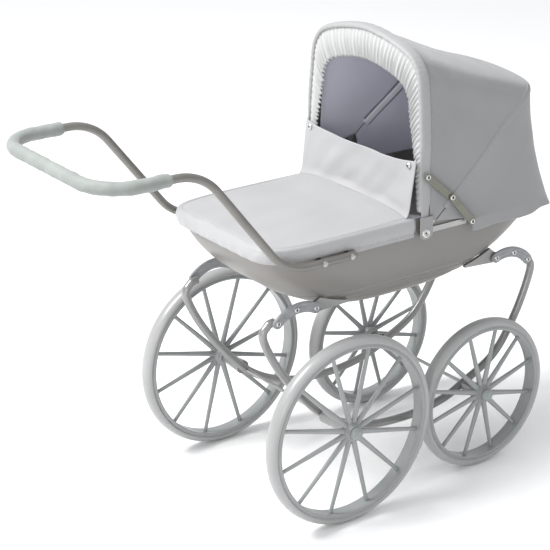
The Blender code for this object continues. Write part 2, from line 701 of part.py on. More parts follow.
def evened(path, count):
    """The path again, with its points spaced evenly."""
    reach = [0.0]
    for a, b in zip(path, path[1:]):
        reach.append(reach[-1] + (b - a).length)
    found = []
    k = 0
    for i in range(count):
        wanted = reach[-1] * i / (count - 1)
        while k < len(path) - 2 and reach[k + 1] < wanted:
            k += 1
        found.append(path[k].lerp(path[k + 1], (wanted - reach[k]) / (reach[k + 1] - reach[k])))
    return found


def rim_curve(offset, drop, foot):
    """The hood's lower edge: along the rim from the right hinge, round the head end, to the left."""
    reach = RIM_A + offset - (HINGE_X - TUB_CENTRE_X)
    points = []
    for i in range(181):
        c, s = squared(math.pi * (i / 180 - 0.5), PLAN_POWER_RIM)
        points.append(Vector((HINGE_X + reach * c, foot * s, HINGE_HEIGHT + drop)))
    return evened(points, 31)


def strip(name, path, layer_normal):
    w = STRIP_WIDTH / 2
    t = STRIP_THICKNESS / 2
    return swept(name, path, [(-w, -t), (w, -t), (w, t), (-w, t)], layer_normal, smooth=False)


def hood_bows():
    """Three flat steel hoops that share one hinge rivet each side."""
    for name, angle, layer, path in (
            ("hood_front_bow", FRONT_BOW_ANGLE, LAYER_FRONT, front_hoop(0.0)),
            ("hood_middle_bow", MIDDLE_BOW_ANGLE, LAYER_MIDDLE, middle_hoop(0.0, LAYER_MIDDLE))):
        lean = math.radians(angle)
        ahead = Vector((-math.sin(lean), 0, math.cos(lean)))
        first = path[0] + (path[0] - path[1]).normalized() * STRIP_WIDTH / 2
        last = path[-1] + (path[-1] - path[-2]).normalized() * STRIP_WIDTH / 2
        bow = put(name, strip(name, [first] + path + [last], ahead), BOW_STEEL)
        for side in (1, -1):
            drill(bow, (HINGE_X, side * layer, HINGE_HEIGHT), RIVET_RADIUS + GAP, 0.004)
        if name == "hood_front_bow":
            for side in (1, -1):
                drill(bow, (HINGE_X, side * layer, HINGE_HEIGHT + STRUT_FRONT_ARM),
                      RIVET_RADIUS + GAP, 0.006)
    path = rim_curve(BASE_REACH - STRIP_THICKNESS / 2, 0.0, LAYER_BASE)
    first = path[0] + Vector((-0.006, 0, 0))
    last = path[-1] + Vector((-0.006, 0, 0))
    bow = put("hood_base_bow", strip("hood_base_bow", [first] + path + [last], (0, 0, 1)),
              BOW_STEEL)
    for side in (1, -1):
        for x, z in ((HINGE_X, HINGE_HEIGHT), strut_foot()):
            drill(bow, (x, side * LAYER_BASE, z), RIVET_RADIUS + GAP, 0.006)


def sheet(name, rows, look):
    """A thin closed sheet through rows of points, thickened away from the tub's middle."""
    n = len(rows[0])
    points = [p for row in rows for p in row]
    faces = []
    for i in range(len(rows) - 1):
        for k in range(n - 1):
            faces.append((i * n + k, i * n + k + 1, i * n + n + k + 1, i * n + n + k))
    skin = bpy.data.meshes.new(name)
    skin.from_pydata([tuple(p) for p in points], [], faces)
    work = bmesh.new()
    work.from_mesh(skin)
    bmesh.ops.recalc_face_normals(work, faces=work.faces)
    heart = Vector((TUB_CENTRE_X + 0.1, 0, HINGE_HEIGHT + 0.05))
    outward = sum((f.normal.dot(f.calc_center_median() - heart) for f in work.faces))
    if outward < 0:
        bmesh.ops.reverse_faces(work, faces=work.faces)
    work.to_mesh(skin)
    work.free()
    skin.shade_smooth()
    piece = put(name, skin, look)
    thick = piece.modifiers.new("thickness", "SOLIDIFY")
    thick.thickness = FABRIC
    thick.offset = 1.0
    thick.use_even_offset = False
    return piece


def trimmed(path, from_hinge):
    """A hoop whose two ends stop short of the hinge."""
    cut = [p.copy() for p in path]
    for end, near in ((0, 1), (-1, -2)):
        a = path[end]
        b = path[near]
        cut[end] = a.lerp(b, from_hinge / (b - a).length)
    return cut


def moved(path, step):
    return [p + Vector(step) for p in path]


def rows_between(first, last, count):
    return [[a.lerp(b, i / count) for a, b in zip(first, last)] for i in range(1, count)]


def hood_cover():
    """The hood's front and rear panels, thin covers over the hoops, and its gathered front edge."""
    spread = STRIP_THICKNESS / 2 + GAP
    clear = STRIP_WIDTH / 2 + 0.0015
    lean = math.radians(MIDDLE_BOW_ANGLE)
    ahead = Vector((-math.sin(lean), 0, math.cos(lean)))
    front = trimmed(front_hoop(spread), 0.022)
    middle = trimmed(middle_hoop(spread, LAYER_FRONT), 0.022)
    behind = moved(front, (clear, 0, 0))
    before = moved(middle, ahead * clear)
    rows = [moved(front, (-BAND_FRONT, 0, 0)), front, behind] + rows_between(behind, before, 2)
    rows += [before, moved(middle, ahead * GAP)]
    cover = sheet("hood_front_panel", rows, HOOD_FABRIC)
    for side in (1, -1):
        drill(cover, (HINGE_X, side * FABRIC_INSIDE, HINGE_HEIGHT + STRUT_FRONT_ARM),
              RIVET_RADIUS + GAP, 0.02)
    after = moved(middle, -ahead * clear)
    base = trimmed(rim_curve(BASE_REACH + 2 * GAP, STRIP_WIDTH / 2, LAYER_FRONT + spread), 0.018)
    hem = []
    for p in base:
        flare = HEM_FLARE * min(max((p.x - RIM_A * 0.6) / (RIM_A * 0.4), 0.0), 1.0)
        hem.append(Vector((p.x + flare, p.y, p.z - STRIP_WIDTH / 2 - HEM_DROP)))
    rows = [moved(middle, -ahead * GAP), after] + rows_between(after, base, 3) + [base, hem]
    cover = sheet("hood_rear_panel", rows, HOOD_FABRIC)
    for side in (1, -1):
        x, z = strut_foot()
        drill(cover, (x, side * FABRIC_INSIDE, z), RIVET_RADIUS + GAP, 0.02)
    ruffle()


def ruffle():
    """The elastic edge round the hood's mouth."""
    outer = trimmed(front_hoop(0.0), 0.030)
    inner = trimmed(arch(FRONT_BOW_ANGLE, FRONT_BOW_HEIGHT - RUFFLE_CROWN,
                         BOW_CROWN_WIDTH / 2 - RUFFLE_SHOULDER, LAYER_FRONT - RUFFLE_SIDE,
                         FRONT_LEAN, FRONT_SHOULDER), 0.030)
    back = moved(outer + inner, (-BAND_FRONT - GAP, 0, 0))
    points = back + moved(back, (-RUFFLE_THICKNESS, 0, 0))
    n = len(outer)
    faces = []
    for k in range(n - 1):
        faces.append((k, k + 1, n + k + 1, n + k))
        faces.append((2 * n + k, 2 * n + k + 1, 3 * n + k + 1, 3 * n + k))
        faces.append((k, k + 1, 2 * n + k + 1, 2 * n + k))
        faces.append((n + k, n + k + 1, 3 * n + k + 1, 3 * n + k))
    for k in (0, n - 1):
        faces.append((k, n + k, 3 * n + k, 2 * n + k))
    put("hood_ruffle", mesh_of("hood_ruffle", points, faces, smooth=False), RUFFLE_FABRIC)


# ---------------------------------------------------------------- hood struts
def strut_foot():
    return HINGE_X + STRUT_REAR_ARM, HINGE_HEIGHT + 0.0012


def strut_places():
    """The strut's two rivets and its elbow, as (x, z)."""
    top = Vector((HINGE_X, HINGE_HEIGHT + STRUT_FRONT_ARM))
    foot = Vector(strut_foot())
    across = foot - top
    bend = math.tan(math.radians(STRUT_BEND)) * across.length / 2
    square = Vector((-across.y, across.x)).normalized()
    return top, (top + foot) / 2 + square * bend, foot


def link_outline(a, b):
    w = STRUT_WIDTH / 2
    return round_end(a, b, w) + round_end(b, a, w)


def struts():
    """Two-link folding stays outside the cover, with rivets at the bow, the elbow and the rim."""
    top, elbow, foot = strut_places()
    for hand, side in (("left", 1), ("right", -1)):
        for name, a, b, y in (("front", top, elbow, STRUT_INNER_Y), ("rear", foot, elbow, STRUT_OUTER_Y)):
            low, high = sorted((side * (y - STRUT_THICKNESS / 2), side * (y + STRUT_THICKNESS / 2)))
            full = f"strut_{name}_link_{hand}"
            link = put(full, plate(full, link_outline(a, b), low, high), STRUT_STEEL)
            drill(link, (a.x, side * y, a.y), RIVET_RADIUS + GAP, 0.004)
        outside = STRUT_INNER_Y + STRUT_THICKNESS / 2 + 2 * GAP
        rivet(f"strut_bow_rivet_{hand}", top, LAYER_FRONT - LAYER / 2, outside, side, False)
        outside = STRUT_OUTER_Y + STRUT_THICKNESS / 2 + 2 * GAP
        inside = inner_wall(foot.x)
        rivet(f"strut_rim_rivet_{hand}", foot, inside, outside, side, True)
        head = STRUT_OUTER_Y + STRUT_THICKNESS / 2 - 0.0006
        knob = put("knob", domed("knob", [
            (0, head), (0.0045, head), (0.0045, head + 0.0016), (0.0028, head + 0.0028),
            (0, head + 0.0028)], 8), STRUT_STEEL, (elbow.x, 0, elbow.y), side < 0)
        carve(bpy.data.objects[f"strut_rear_link_{hand}"], knob, "UNION")
        inside = inner_wall(HINGE_X)
        outside = FABRIC_INSIDE + FABRIC + GAP
        rivet(f"hood_hinge_rivet_{hand}", Vector((HINGE_X, HINGE_HEIGHT)), inside, outside, side, True)


def inner_wall(x):
    """Distance from the middle to just inside the tub's wall, at the hinge height."""
    return wall_at(x, HINGE_HEIGHT) - TUB_WALL - WALL_SAG


def rivet(name, at, inside, outside, side, headed):
    """A rivet along Y, with a head outside and, where it is reached, one inside."""
    r = RIVET_RADIUS
    tail = [(0, inside - 0.001), (RIVET_HEAD * 0.8, inside - 0.001), (RIVET_HEAD * 0.8, inside)]
    if not headed:
        tail = [(0, inside)]
    body = domed(name, tail + [
        (r, inside), (r, outside), (RIVET_HEAD, outside), (RIVET_HEAD, outside + 0.0008),
        (RIVET_HEAD * 0.55, outside + 0.0018), (0, outside + 0.0018)], 8)
    put(name, body, SNAP_METAL, (at[0], 0, at[1]), side < 0)


# ---------------------------------------------------------------- apron
def apron_outline(grow):
    """Round the foot end from the front edge on the left to the front edge on the right."""
    ring = [p for p in hull_ring(RIM_HEIGHT, -grow, TUB_SIDES) if p.x < APRON_FRONT_X - 0.002]
    return [Vector((APRON_FRONT_X, RIM_B + grow, 0))] + ring + [Vector((APRON_FRONT_X, -RIM_B - grow, 0))]


def apron():
    """A fitted cover over the foot half of the tub, with a skirt outside the rim."""
    outside = apron_outline(GAP + APRON_THICKNESS)
    inside = apron_outline(GAP)
    under = RIM_HEIGHT + GAP
    top = under + APRON_THICKNESS
    n = len(outside)
    rows = [[Vector((p.x, p.y, SKIRT_BOTTOM)) for p in outside],
            [Vector((p.x, p.y, top - 0.001)) for p in outside],
            [Vector((min(p.x + 0.003, APRON_FRONT_X), p.y * 0.98, top)) for p in outside],
            [Vector((p.x, p.y, SKIRT_BOTTOM)) for p in inside],
            [Vector((p.x, p.y, under)) for p in inside]]
    faces = []
    for k in range(n - 1):
        for low, high in ((0, 1), (1, 2), (3, 4), (0, 3)):
            faces.append((low * n + k, low * n + k + 1, high * n + k + 1, high * n + k))
    for row in (2, 4):
        for k in range((n - 1) // 2):
            here = row * n + k
            there = row * n + n - 1 - k
            faces.append((here, here + 1, there - 1, there) if here + 1 < there - 1
                         else (here, here + 1, there))
    faces.append((0, n, 2 * n, 3 * n - 1, 2 * n - 1, n - 1, 4 * n - 1, 5 * n - 1, 4 * n, 3 * n))
    points = [p for row in rows for p in row]
    put("apron_cover", mesh_of("apron_cover", points, faces, smooth=False), APRON_FABRIC)


def flap():
    """The wind flap that stands at the apron's front edge and snaps to the front bow."""
    lean = math.radians(FLAP_LEAN)
    w = FLAP_WIDTH / 2
    t = APRON_THICKNESS / 2
    corners = [(-t, -w, 0.0), (t, -w, 0.0), (t, w, 0.0), (-t, w, 0.0),
               (-t, -w, FLAP_HEIGHT), (t, -w, FLAP_HEIGHT), (t, w, FLAP_HEIGHT), (-t, w, FLAP_HEIGHT)]
    body = mesh_of("apron_flap", corners, [(0, 1, 2, 3), (4, 5, 6, 7), (0, 1, 5, 4), (1, 2, 6, 5),
                                           (2, 3, 7, 6), (3, 0, 4, 7)], smooth=False)
    piece = put("apron_flap", body, APRON_FABRIC, (FLAP_X, 0, FLAP_Z))
    piece.rotation_euler = (0, lean, 0)
    disc = domed("snap", [(0, 0.0), (SNAP_RADIUS, 0.0), (SNAP_RADIUS, 0.0010), (0.0025, 0.0020),
                          (0, 0.0020)], 8)
    for hand, side in (("left", 1), ("right", -1)):
        snap = put("flap_snap_" + hand, disc, SNAP_METAL)
        snap.parent = piece
        snap.location = (-t - GAP, side * (w - 0.007), FLAP_HEIGHT - 0.009)
        snap.rotation_euler = (0, 0, math.radians(90))


axles()
side_bows()
straps()
hangers()
wheels()
tub()
pad()
handle()
bolts()
hood_bows()
hood_cover()
struts()
apron()
flap()
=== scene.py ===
import functools
import math

import bpy
import numpy as np
from mathutils import Matrix, Vector, noise


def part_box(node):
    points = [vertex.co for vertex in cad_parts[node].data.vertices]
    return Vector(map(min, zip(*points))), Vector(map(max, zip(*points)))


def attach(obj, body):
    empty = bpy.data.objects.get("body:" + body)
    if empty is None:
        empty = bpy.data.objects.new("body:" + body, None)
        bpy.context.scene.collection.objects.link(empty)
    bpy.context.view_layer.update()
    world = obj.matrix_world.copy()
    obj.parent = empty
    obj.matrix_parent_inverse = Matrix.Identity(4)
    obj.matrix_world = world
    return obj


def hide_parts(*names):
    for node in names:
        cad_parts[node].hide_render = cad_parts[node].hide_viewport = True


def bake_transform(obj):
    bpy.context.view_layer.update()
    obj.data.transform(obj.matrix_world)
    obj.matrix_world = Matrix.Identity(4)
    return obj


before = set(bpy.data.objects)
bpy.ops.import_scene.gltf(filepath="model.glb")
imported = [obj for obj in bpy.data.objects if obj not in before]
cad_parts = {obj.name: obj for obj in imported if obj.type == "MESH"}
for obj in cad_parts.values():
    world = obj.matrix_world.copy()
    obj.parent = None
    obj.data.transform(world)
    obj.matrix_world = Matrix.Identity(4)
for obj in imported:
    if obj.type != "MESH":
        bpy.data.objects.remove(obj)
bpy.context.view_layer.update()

# ---- the studio
# The pram stands on a pale floor in soft light, seen from its foot end and its right side.
# One wide soft lamp hangs ahead and to the left of it, and the room around it is white.


def middle_of(node):
    low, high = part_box(node)
    return (Vector(low) + Vector(high)) / 2


def extent_of(node):
    low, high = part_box(node)
    return Vector(high) - Vector(low)


WHEELBASE_MIDDLE = (middle_of("rear_axle").x + middle_of("front_axle").x) / 2


def cleared():
    bpy.ops.object.select_all(action="DESELECT")


def at(x, y, z):
    """A place measured from the floor under the middle of the wheelbase."""
    return Vector((WHEELBASE_MIDDLE + x, y, z))


CAMERA_PLACE = at(-1.5409, -1.9396, 1.2706)
CAMERA_WAY = Vector((0.5427, 0.7549, -0.3685))
SENSOR_MM = 36.0
LENS_MM = 119.2

cleared()
bpy.ops.object.camera_add(location=CAMERA_PLACE)
camera = bpy.context.object
camera.name = "studio_camera"
camera.rotation_euler = CAMERA_WAY.to_track_quat("-Z", "Y").to_euler()
camera.data.sensor_width = SENSOR_MM
camera.data.lens = LENS_MM
bpy.context.scene.camera = camera
bpy.context.scene.view_settings.view_transform = "Standard"

ROOM_WHITE = (0.97, 0.98, 1.0, 1.0)
ROOM_STRENGTH = 0.82
room = bpy.data.worlds.new("white_room")
bpy.context.scene.world = room
room.use_nodes = True
sky = room.node_tree.nodes["Background"].inputs
sky["Color"].default_value = ROOM_WHITE
sky["Strength"].default_value = ROOM_STRENGTH

LAMPS_AIM = Vector((0, 0, 0.3))
FLOOR_SIZE = 30


def lamp(name, place, size, power):
    cleared()
    bpy.ops.object.light_add(type="AREA", location=place)
    light = bpy.context.object
    light.name = name
    light.data.size = size
    light.data.energy = power
    light.rotation_euler = (LAMPS_AIM - Vector(place)).to_track_quat("-Z", "Y").to_euler()


lamp("key_lamp", (-1.6, 0.6, 2.7), 1.3, 118)
lamp("side_lamp", (-2.2, -2.2, 1.0), 0.9, 16)

cleared()
bpy.ops.mesh.primitive_plane_add(size=FLOOR_SIZE)
floor = bpy.context.object
floor.name = "studio_floor"


class Wire:
    """One varying value in a finish. Sums on it are written as sums."""

    def __init__(self, finish, socket):
        self.finish = finish
        self.socket = socket

    def sum(self, kind, first, second=0.0):
        return self.finish.node("ShaderNodeMath", {"operation": kind}, {0: first, 1: second})

    def __add__(self, other):
        return self.sum("ADD", self, other)

    def __sub__(self, other):
        return self.sum("SUBTRACT", self, other)

    def __rsub__(self, other):
        return self.sum("SUBTRACT", other, self)

    def __mul__(self, other):
        return self.sum("MULTIPLY", self, other)

    __radd__ = __add__
    __rmul__ = __mul__


class Finish:
    """A material on one Principled shader. Plain values are set on its sockets."""

    def __init__(self, name, colour, rough, **fixed):
        self.material = bpy.data.materials.new(name)
        self.material.use_nodes = True
        self.tree = self.material.node_tree
        self.shader = self.tree.nodes["Principled BSDF"]
        self.shader.inputs["Base Color"].default_value = (*colour, 1.0)
        self.shader.inputs["Roughness"].default_value = rough
        for words, value in fixed.items():
            self.shader.inputs[words.replace("_", " ")].default_value = value
        self.material.diffuse_color = (*colour, 1.0)

    def node(self, kind, settings=(), feeds=(), output=0):
        made = self.tree.nodes.new(kind)
        for key, value in dict(settings).items():
            setattr(made, key, value)
        for key, value in dict(feeds).items():
            if isinstance(value, Wire):
                self.tree.links.new(value.socket, made.inputs[key])
            else:
                made.inputs[key].default_value = value
        return Wire(self, made.outputs[output])

    def place(self):
        return self.node("ShaderNodeTexCoord", output="Object")

    def grain(self, scale, detail=2.0, rough=0.5, stretch=None):
        spot = self.place()
        if stretch:
            spot = self.node("ShaderNodeMapping", {}, {"Vector": spot, "Scale": stretch})
        return self.node("ShaderNodeTexNoise", {}, {"Vector": spot, "Scale": scale, "Detail": detail,
                                                    "Roughness": rough})

    def colours(self, factor, dark, light):
        return self.node("ShaderNodeMix", {"data_type": "RGBA"},
                         {"Factor": factor, "A": (*dark, 1.0), "B": (*light, 1.0)}, "Result")

    def feed(self, socket, wire):
        self.tree.links.new(wire.socket, self.shader.inputs[socket])

    def bumped(self, height, strength, depth):
        self.feed("Normal", self.node("ShaderNodeBump", {}, {"Height": height, "Strength": strength,
                                                             "Distance": depth}, "Normal"))

    def mottled(self, scale, dark, light, detail=2.0):
        """Clouds of a darker and a lighter tone."""
        self.feed("Base Color", self.colours(self.grain(scale, detail), dark, light))

    def scuffed(self, scale, shiny, dull, detail=2.0):
        """Patches that shine more or less."""
        self.feed("Roughness", spread(self.grain(scale, detail), shiny, dull))

    def pitted(self, scale, strength, depth, detail=2.0):
        """A fine uneven skin."""
        self.bumped(self.grain(scale, detail), strength, depth)


def spread(factor, low, high):
    """A 0 to 1 value carried to the range from low to high."""
    return factor * (high - low) + low


pale = Finish("pale_floor", (0.93, 0.93, 0.93), 0.9)
pale.scuffed(3.0, 0.85, 0.95)
floor.data.materials.append(pale.material)

# ---- wheels
# Each wheel is one silver-grey moulding: a flat rim, twelve oval spokes that swell towards a
# stepped hub, and small ribs on the hub's inner face. A smooth hard tyre is pressed on the rim.
# A domed cap closes the hub.


def picked(piece):
    """Select one piece alone."""
    cleared()
    bpy.context.view_layer.objects.active = piece
    piece.select_set(True)


def worked(piece, *steps):
    """Open a piece with all of it selected, take the steps, and close it."""
    picked(piece)
    bpy.ops.object.mode_set(mode="EDIT")
    bpy.ops.mesh.select_all(action="SELECT")
    for step in steps:
        step()
    bpy.ops.object.mode_set(mode="OBJECT")
    return piece


def welded():
    bpy.ops.mesh.remove_doubles(threshold=0.000004)
    bpy.ops.mesh.delete_loose()


def outward():
    bpy.ops.mesh.normals_make_consistent(inside=False)


def smoothed(piece, angle=40):
    picked(piece)
    bpy.ops.object.shade_smooth_by_angle(angle=math.radians(angle))
    return piece


def turned(name, outline, steps, angle=40):
    """Spin a closed outline of (radius, y) about the Y axis."""
    cleared()
    bpy.ops.mesh.primitive_circle_add(vertices=len(outline), radius=1)
    piece = bpy.context.object
    piece.name = name
    for vertex, (r, y) in zip(piece.data.vertices, outline):
        vertex.co = (r, y, 0)
    worked(piece,
           lambda: bpy.ops.mesh.spin(steps=steps, angle=2 * math.pi, center=(0, 0, 0), axis=(0, 1, 0)),
           welded, outward)
    across = (piece.data.uv_layers.active or piece.data.uv_layers.new(name="across")).data
    for loop in piece.data.loops:
        x, y, z = piece.data.vertices[loop.vertex_index].co
        across[loop.index].uv = (math.hypot(x, z), y)
    return smoothed(piece, angle)


def laid(name, nu, nv, place, size=(1.0, 1.0), closed=False, angle=60):
    """A grid whose points are laid at place(u, v), with a weave map in metres."""
    cleared()
    bpy.ops.mesh.primitive_grid_add(x_subdivisions=nu, y_subdivisions=nv, size=1)
    piece = bpy.context.object
    piece.name = name
    mesh = piece.data
    for vertex in mesh.vertices:
        vertex.co = place(vertex.co.x + 0.5, vertex.co.y + 0.5)
    for corner in mesh.uv_layers[0].data:
        corner.uv = (corner.uv[0] * size[0], corner.uv[1] * size[1])
    if closed:
        worked(piece, welded, lambda: bpy.ops.mesh.select_all(action="SELECT"),
               lambda: bpy.ops.mesh.fill_holes(sides=0), outward)
    return smoothed(piece, angle)


def joined(name, pieces):
    cleared()
    for piece in pieces:
        piece.select_set(True)
    bpy.context.view_layer.objects.active = pieces[0]
    bpy.ops.object.join()
    pieces[0].name = name
    return pieces[0]


def put(piece, name, matrix):
    """A copy of a piece, with its own mesh, carried to its place."""
    copy = piece.copy()
    copy.data = piece.data.copy()
    copy.data.transform(matrix)
    copy.name = name
    copy.data.name = name
    bpy.context.scene.collection.objects.link(copy)
    return copy


def finished(piece, look, body, slot, *nodes):
    """Give a piece its finish, its body and the CAD nodes that it stands for. The slot argument is not
    used.
    """
    piece.data.materials.clear()
    piece.data.materials.append(look.material)
    piece.data.name = piece.name
    if nodes:
        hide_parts(*nodes)
    if body:
        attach(piece, body)
    return piece


wheel_look = Finish("silver_wheel_plastic", (0.25, 0.26, 0.26), 0.36, Coat_Weight=0.25,
                    Coat_Roughness=0.25)
wheel_look.mottled(22.0, (0.215, 0.225, 0.225), (0.30, 0.31, 0.31), 3.0)
wheel_look.scuffed(60.0, 0.30, 0.45)
wheel_look.pitted(900.0, 0.12, 0.0004, 1.0)

tyre_look = Finish("smooth_tyre_plastic", (0.32, 0.32, 0.32), 0.34, Coat_Weight=0.3,
                   Coat_Roughness=0.2)
tyre_look.mottled(14.0, (0.265, 0.265, 0.26), (0.375, 0.375, 0.38), 4.0)
tyre_look.scuffed(45.0, 0.28, 0.46)
tyre_look.pitted(500.0, 0.10, 0.0005)

cap_look = Finish("hub_cap_plastic", (0.22, 0.24, 0.235), 0.25, Coat_Weight=0.4)
cap_look.scuffed(120.0, 0.2, 0.34)
cap_look.mottled(70.0, (0.20, 0.22, 0.215), (0.26, 0.28, 0.275))

ENDS = ("rear", "front")
SIDES = (("left", 1), ("right", -1))
ROUND_TURN = 2 * math.pi
TREAD_ROUND = 0.0085
TREAD_STEP = 12
TYRE_SEAT = 0.0106
SPOKES = 12
SPOKE_ROOT = 0.0095
SPOKE_TIP = 0.0150
SPOKE_WIDE = 0.0029
SPOKE_DEEP = 0.0026
SPOKE_SWELL = 0.0010
SPOKE_DISH = 0.004
HUB_OUTLINE = [
    (0.0034, -0.0125), (0.0098, -0.0125), (0.0106, -0.0118), (0.0106, -0.0085), (0.0126, -0.0080),
    (0.0136, -0.0068), (0.0136, 0.0080), (0.0130, 0.0090), (0.0122, 0.0093), (0.0120, 0.0125),
    (0.0112, 0.0135), (0.0106, 0.0135), (0.0034, 0.0135)]
CAP_OUTLINE = [
    (0, 0.0139), (0.0100, 0.0139), (0.0102, 0.0150), (0.0100, 0.0162),
    (0.0088, 0.0184), (0.0064, 0.0200), (0.0034, 0.0207), (0, 0.0209)]


def seat(place, side):
    """Carry a piece to its place, turned to face out on its side."""
    return Matrix.Translation(place) @ Matrix.Rotation(0 if side > 0 else math.pi, 4, "X")


def dropped(*templates):
    for piece in templates:
        bpy.data.objects.remove(piece)


def tyre_outline(radius, half):
    """A half-round tread over a flat seat."""
    seat_edge = (radius - TYRE_SEAT, half * 0.86)
    turns = [math.radians(-90 + TREAD_STEP * k) for k in range(16)]
    tread = [(radius - TREAD_ROUND + TREAD_ROUND * math.cos(a), half * math.sin(a)) for a in turns]
    return [(seat_edge[0], -seat_edge[1])] + tread + [seat_edge]


def rim_outline(radius):
    """A flat rim with a raised lip at each side."""
    side = [(0.0108, 0.0100), (0.0122, 0.0100), (0.0130, 0.0108), (0.0150, 0.0111),
            (0.0163, 0.0104), (0.0161, 0.0080), (0.0157, 0.0045)]
    side = [(radius - depth, y) for depth, y in side]
    return side + [(radius - 0.0156, 0.0)] + [(r, -y) for r, y in reversed(side)]


def spoke_point(u, v, radius):
    """An oval spoke that swells and leans out towards its hub, with a small foot at the rim."""
    turn = ROUND_TURN * u
    root = 1 - v
    wide = SPOKE_WIDE + SPOKE_SWELL * root + 0.0006 * root ** 2.2
    deep = SPOKE_DEEP + SPOKE_SWELL * root
    if v > 0.965:
        wide *= 1.18
    reach = SPOKE_ROOT + (radius - SPOKE_TIP - SPOKE_ROOT) * v
    return Vector((wide * math.cos(turn), SPOKE_DISH * root + deep * math.sin(turn), reach))


def rib_point(u, v):
    """A low rib on the hub's inner face."""
    turn = ROUND_TURN * u
    return Vector((0.0008 * math.cos(turn), -0.0122 - 0.0007 * math.sin(turn), 0.0044 + 0.0052 * v))


for end in ENDS:
    size = extent_of(f"{end}_tyre_left")
    radius = size.z / 2
    tyre = turned("tyre", tyre_outline(radius, size.y / 2), 120)
    rim = turned("rim", rim_outline(radius), 120)
    hub = turned("hub", HUB_OUTLINE, 48)
    spoke = laid("spoke", 14, 14, lambda u, v: spoke_point(u, v, radius), closed=True)
    rib = laid("rib", 8, 2, rib_point, closed=True)
    parts = [rim, hub]
    for k in range(SPOKES):
        turn = Matrix.Rotation(ROUND_TURN * (k + 0.5) / SPOKES, 4, "Y")
        parts.append(put(spoke, f"spoke_{k}", turn))
        parts.append(put(rib, f"rib_{k}", turn))
    dropped(spoke, rib)
    wheel = joined("wheel", parts)
    cap = turned("cap", CAP_OUTLINE, 40)
    for hand, side in SIDES:
        place = seat(middle_of(f"{end}_tyre_{hand}"), side)
        body = f"{end}_{hand}_wheel"
        finished(put(wheel, f"spoked_wheel_{end}_{hand}", place), wheel_look, body, "wheel_plastic",
                 f"{end}_wheel_{hand}")
        finished(put(tyre, f"smooth_tyre_{end}_{hand}", place), tyre_look, body, "tyre_plastic",
                 f"{end}_tyre_{hand}")
        finished(put(cap, f"domed_cap_{end}_{hand}", place), cap_look, body, "cap_plastic",
                 f"{end}_hub_cap_{hand}")
    dropped(wheel, tyre, cap)

# ---- axles and their bosses
# Plain steel rods run through both side bows into the hubs. A cone of painted metal keeps each
# wheel off its bow.


def dressed(look, *nodes):
    """Put a finish on CAD nodes whose own shape is right."""
    for name in nodes:
        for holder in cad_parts[name].material_slots:
            holder.material = look.material


def four(kind):
    """The names of the four like nodes at both ends and both sides."""
    return [f"{end}_{kind}_{hand}" for end in ENDS for hand, _ in SIDES]


steel_look = Finish("plain_steel", (0.42, 0.42, 0.41), 0.3, Metallic=1.0)
steel_look.scuffed(80.0, 0.22, 0.42, 3.0)
steel_look.mottled(30.0, (0.34, 0.34, 0.33), (0.50, 0.50, 0.49))
paint_look = Finish("grey_chassis_paint", (0.31, 0.31, 0.305), 0.33, Metallic=0.55,
                    Coat_Weight=0.35, Coat_Roughness=0.18)
paint_look.mottled(26.0, (0.20, 0.20, 0.195), (0.30, 0.30, 0.295), 3.0)
paint_look.scuffed(70.0, 0.26, 0.42)
paint_look.pitted(420.0, 0.10, 0.0004, 1.0)
dressed(steel_look, "rear_axle", "front_axle")
dressed(paint_look, *four("axle_boss"))

# ---- side bows
# Each side bow is one steel tube, bent like a smile, with its ends curled over to the straps.
# It is painted satin grey.


def eased(points, steps=10):
    """A smooth line through the points."""
    points = [Vector(p) for p in points]
    ends = [2 * points[0] - points[1]] + points + [2 * points[-1] - points[-2]]
    path = []
    for a, b, c, d in zip(ends, ends[1:], ends[2:], ends[3:]):
        for i in range(steps):
            t = i / steps
            path.append(b + (c - a) * t / 2 + (2 * a - 5 * b + 4 * c - d) * t * t / 2
                        + (3 * b - a - 3 * c + d) * t ** 3 / 2)
    path.append(points[-1])
    return path


def tube(name, path, radius, roundness=8):
    """A round tube along a path."""
    cleared()
    bpy.ops.curve.primitive_bezier_curve_add()
    piece = bpy.context.object
    piece.name = name
    line = piece.data
    line.dimensions = "3D"
    line.splines.clear()
    run = line.splines.new("POLY")
    run.points.add(len(path) - 1)
    for point, p in zip(run.points, path):
        point.co = (*p, 1.0)
    line.bevel_depth = radius
    line.bevel_resolution = roundness
    line.use_fill_caps = True
    bpy.ops.object.convert(target="MESH")
    piece = bpy.context.object
    piece.data.transform(piece.matrix_world)
    piece.matrix_world = Matrix.Identity(4)
    worked(piece, welded, outward)
    return smoothed(piece, 50)


BOW_TUBE = extent_of("side_bow_left").y / 2
REAR_RADIUS = extent_of("rear_tyre_left").z / 2
FRONT_RADIUS = extent_of("front_tyre_left").z / 2
REAR_RIVETS = ((-0.216, 0.302), (-0.152, 0.310))
FRONT_RIVETS = ((0.242, 0.293), (0.179, 0.309))
AXLE_X = middle_of("front_axle").x - WHEELBASE_MIDDLE
BOW_LINE = [REAR_RIVETS[0], (-0.228, 0.298), (-0.234, 0.278), (-0.200, 0.216), (-AXLE_X, REAR_RADIUS),
            (-0.060, 0.1025), (0.020, 0.093), (AXLE_X - 0.045, 0.1005), (AXLE_X, FRONT_RADIUS + 0.002),
            (0.192, 0.151), (0.232, 0.208), (0.256, 0.267), (0.253, 0.286), FRONT_RIVETS[0]]
for hand, _ in SIDES:
    y = middle_of(f"side_bow_{hand}").y
    bow = tube(f"bent_side_bow_{hand}", eased([at(x, y, z) for x, z in BOW_LINE]), BOW_TUBE)
    finished(bow, paint_look, "chassis", "chassis_paint", f"side_bow_{hand}")

# ---- straps and hangers
# Arched straps hang the tub from the bows' ends. They are dark grained plastic with long ridges,
# round ends and three hollow rivets on washers. The wedge bars under the tub are painted.

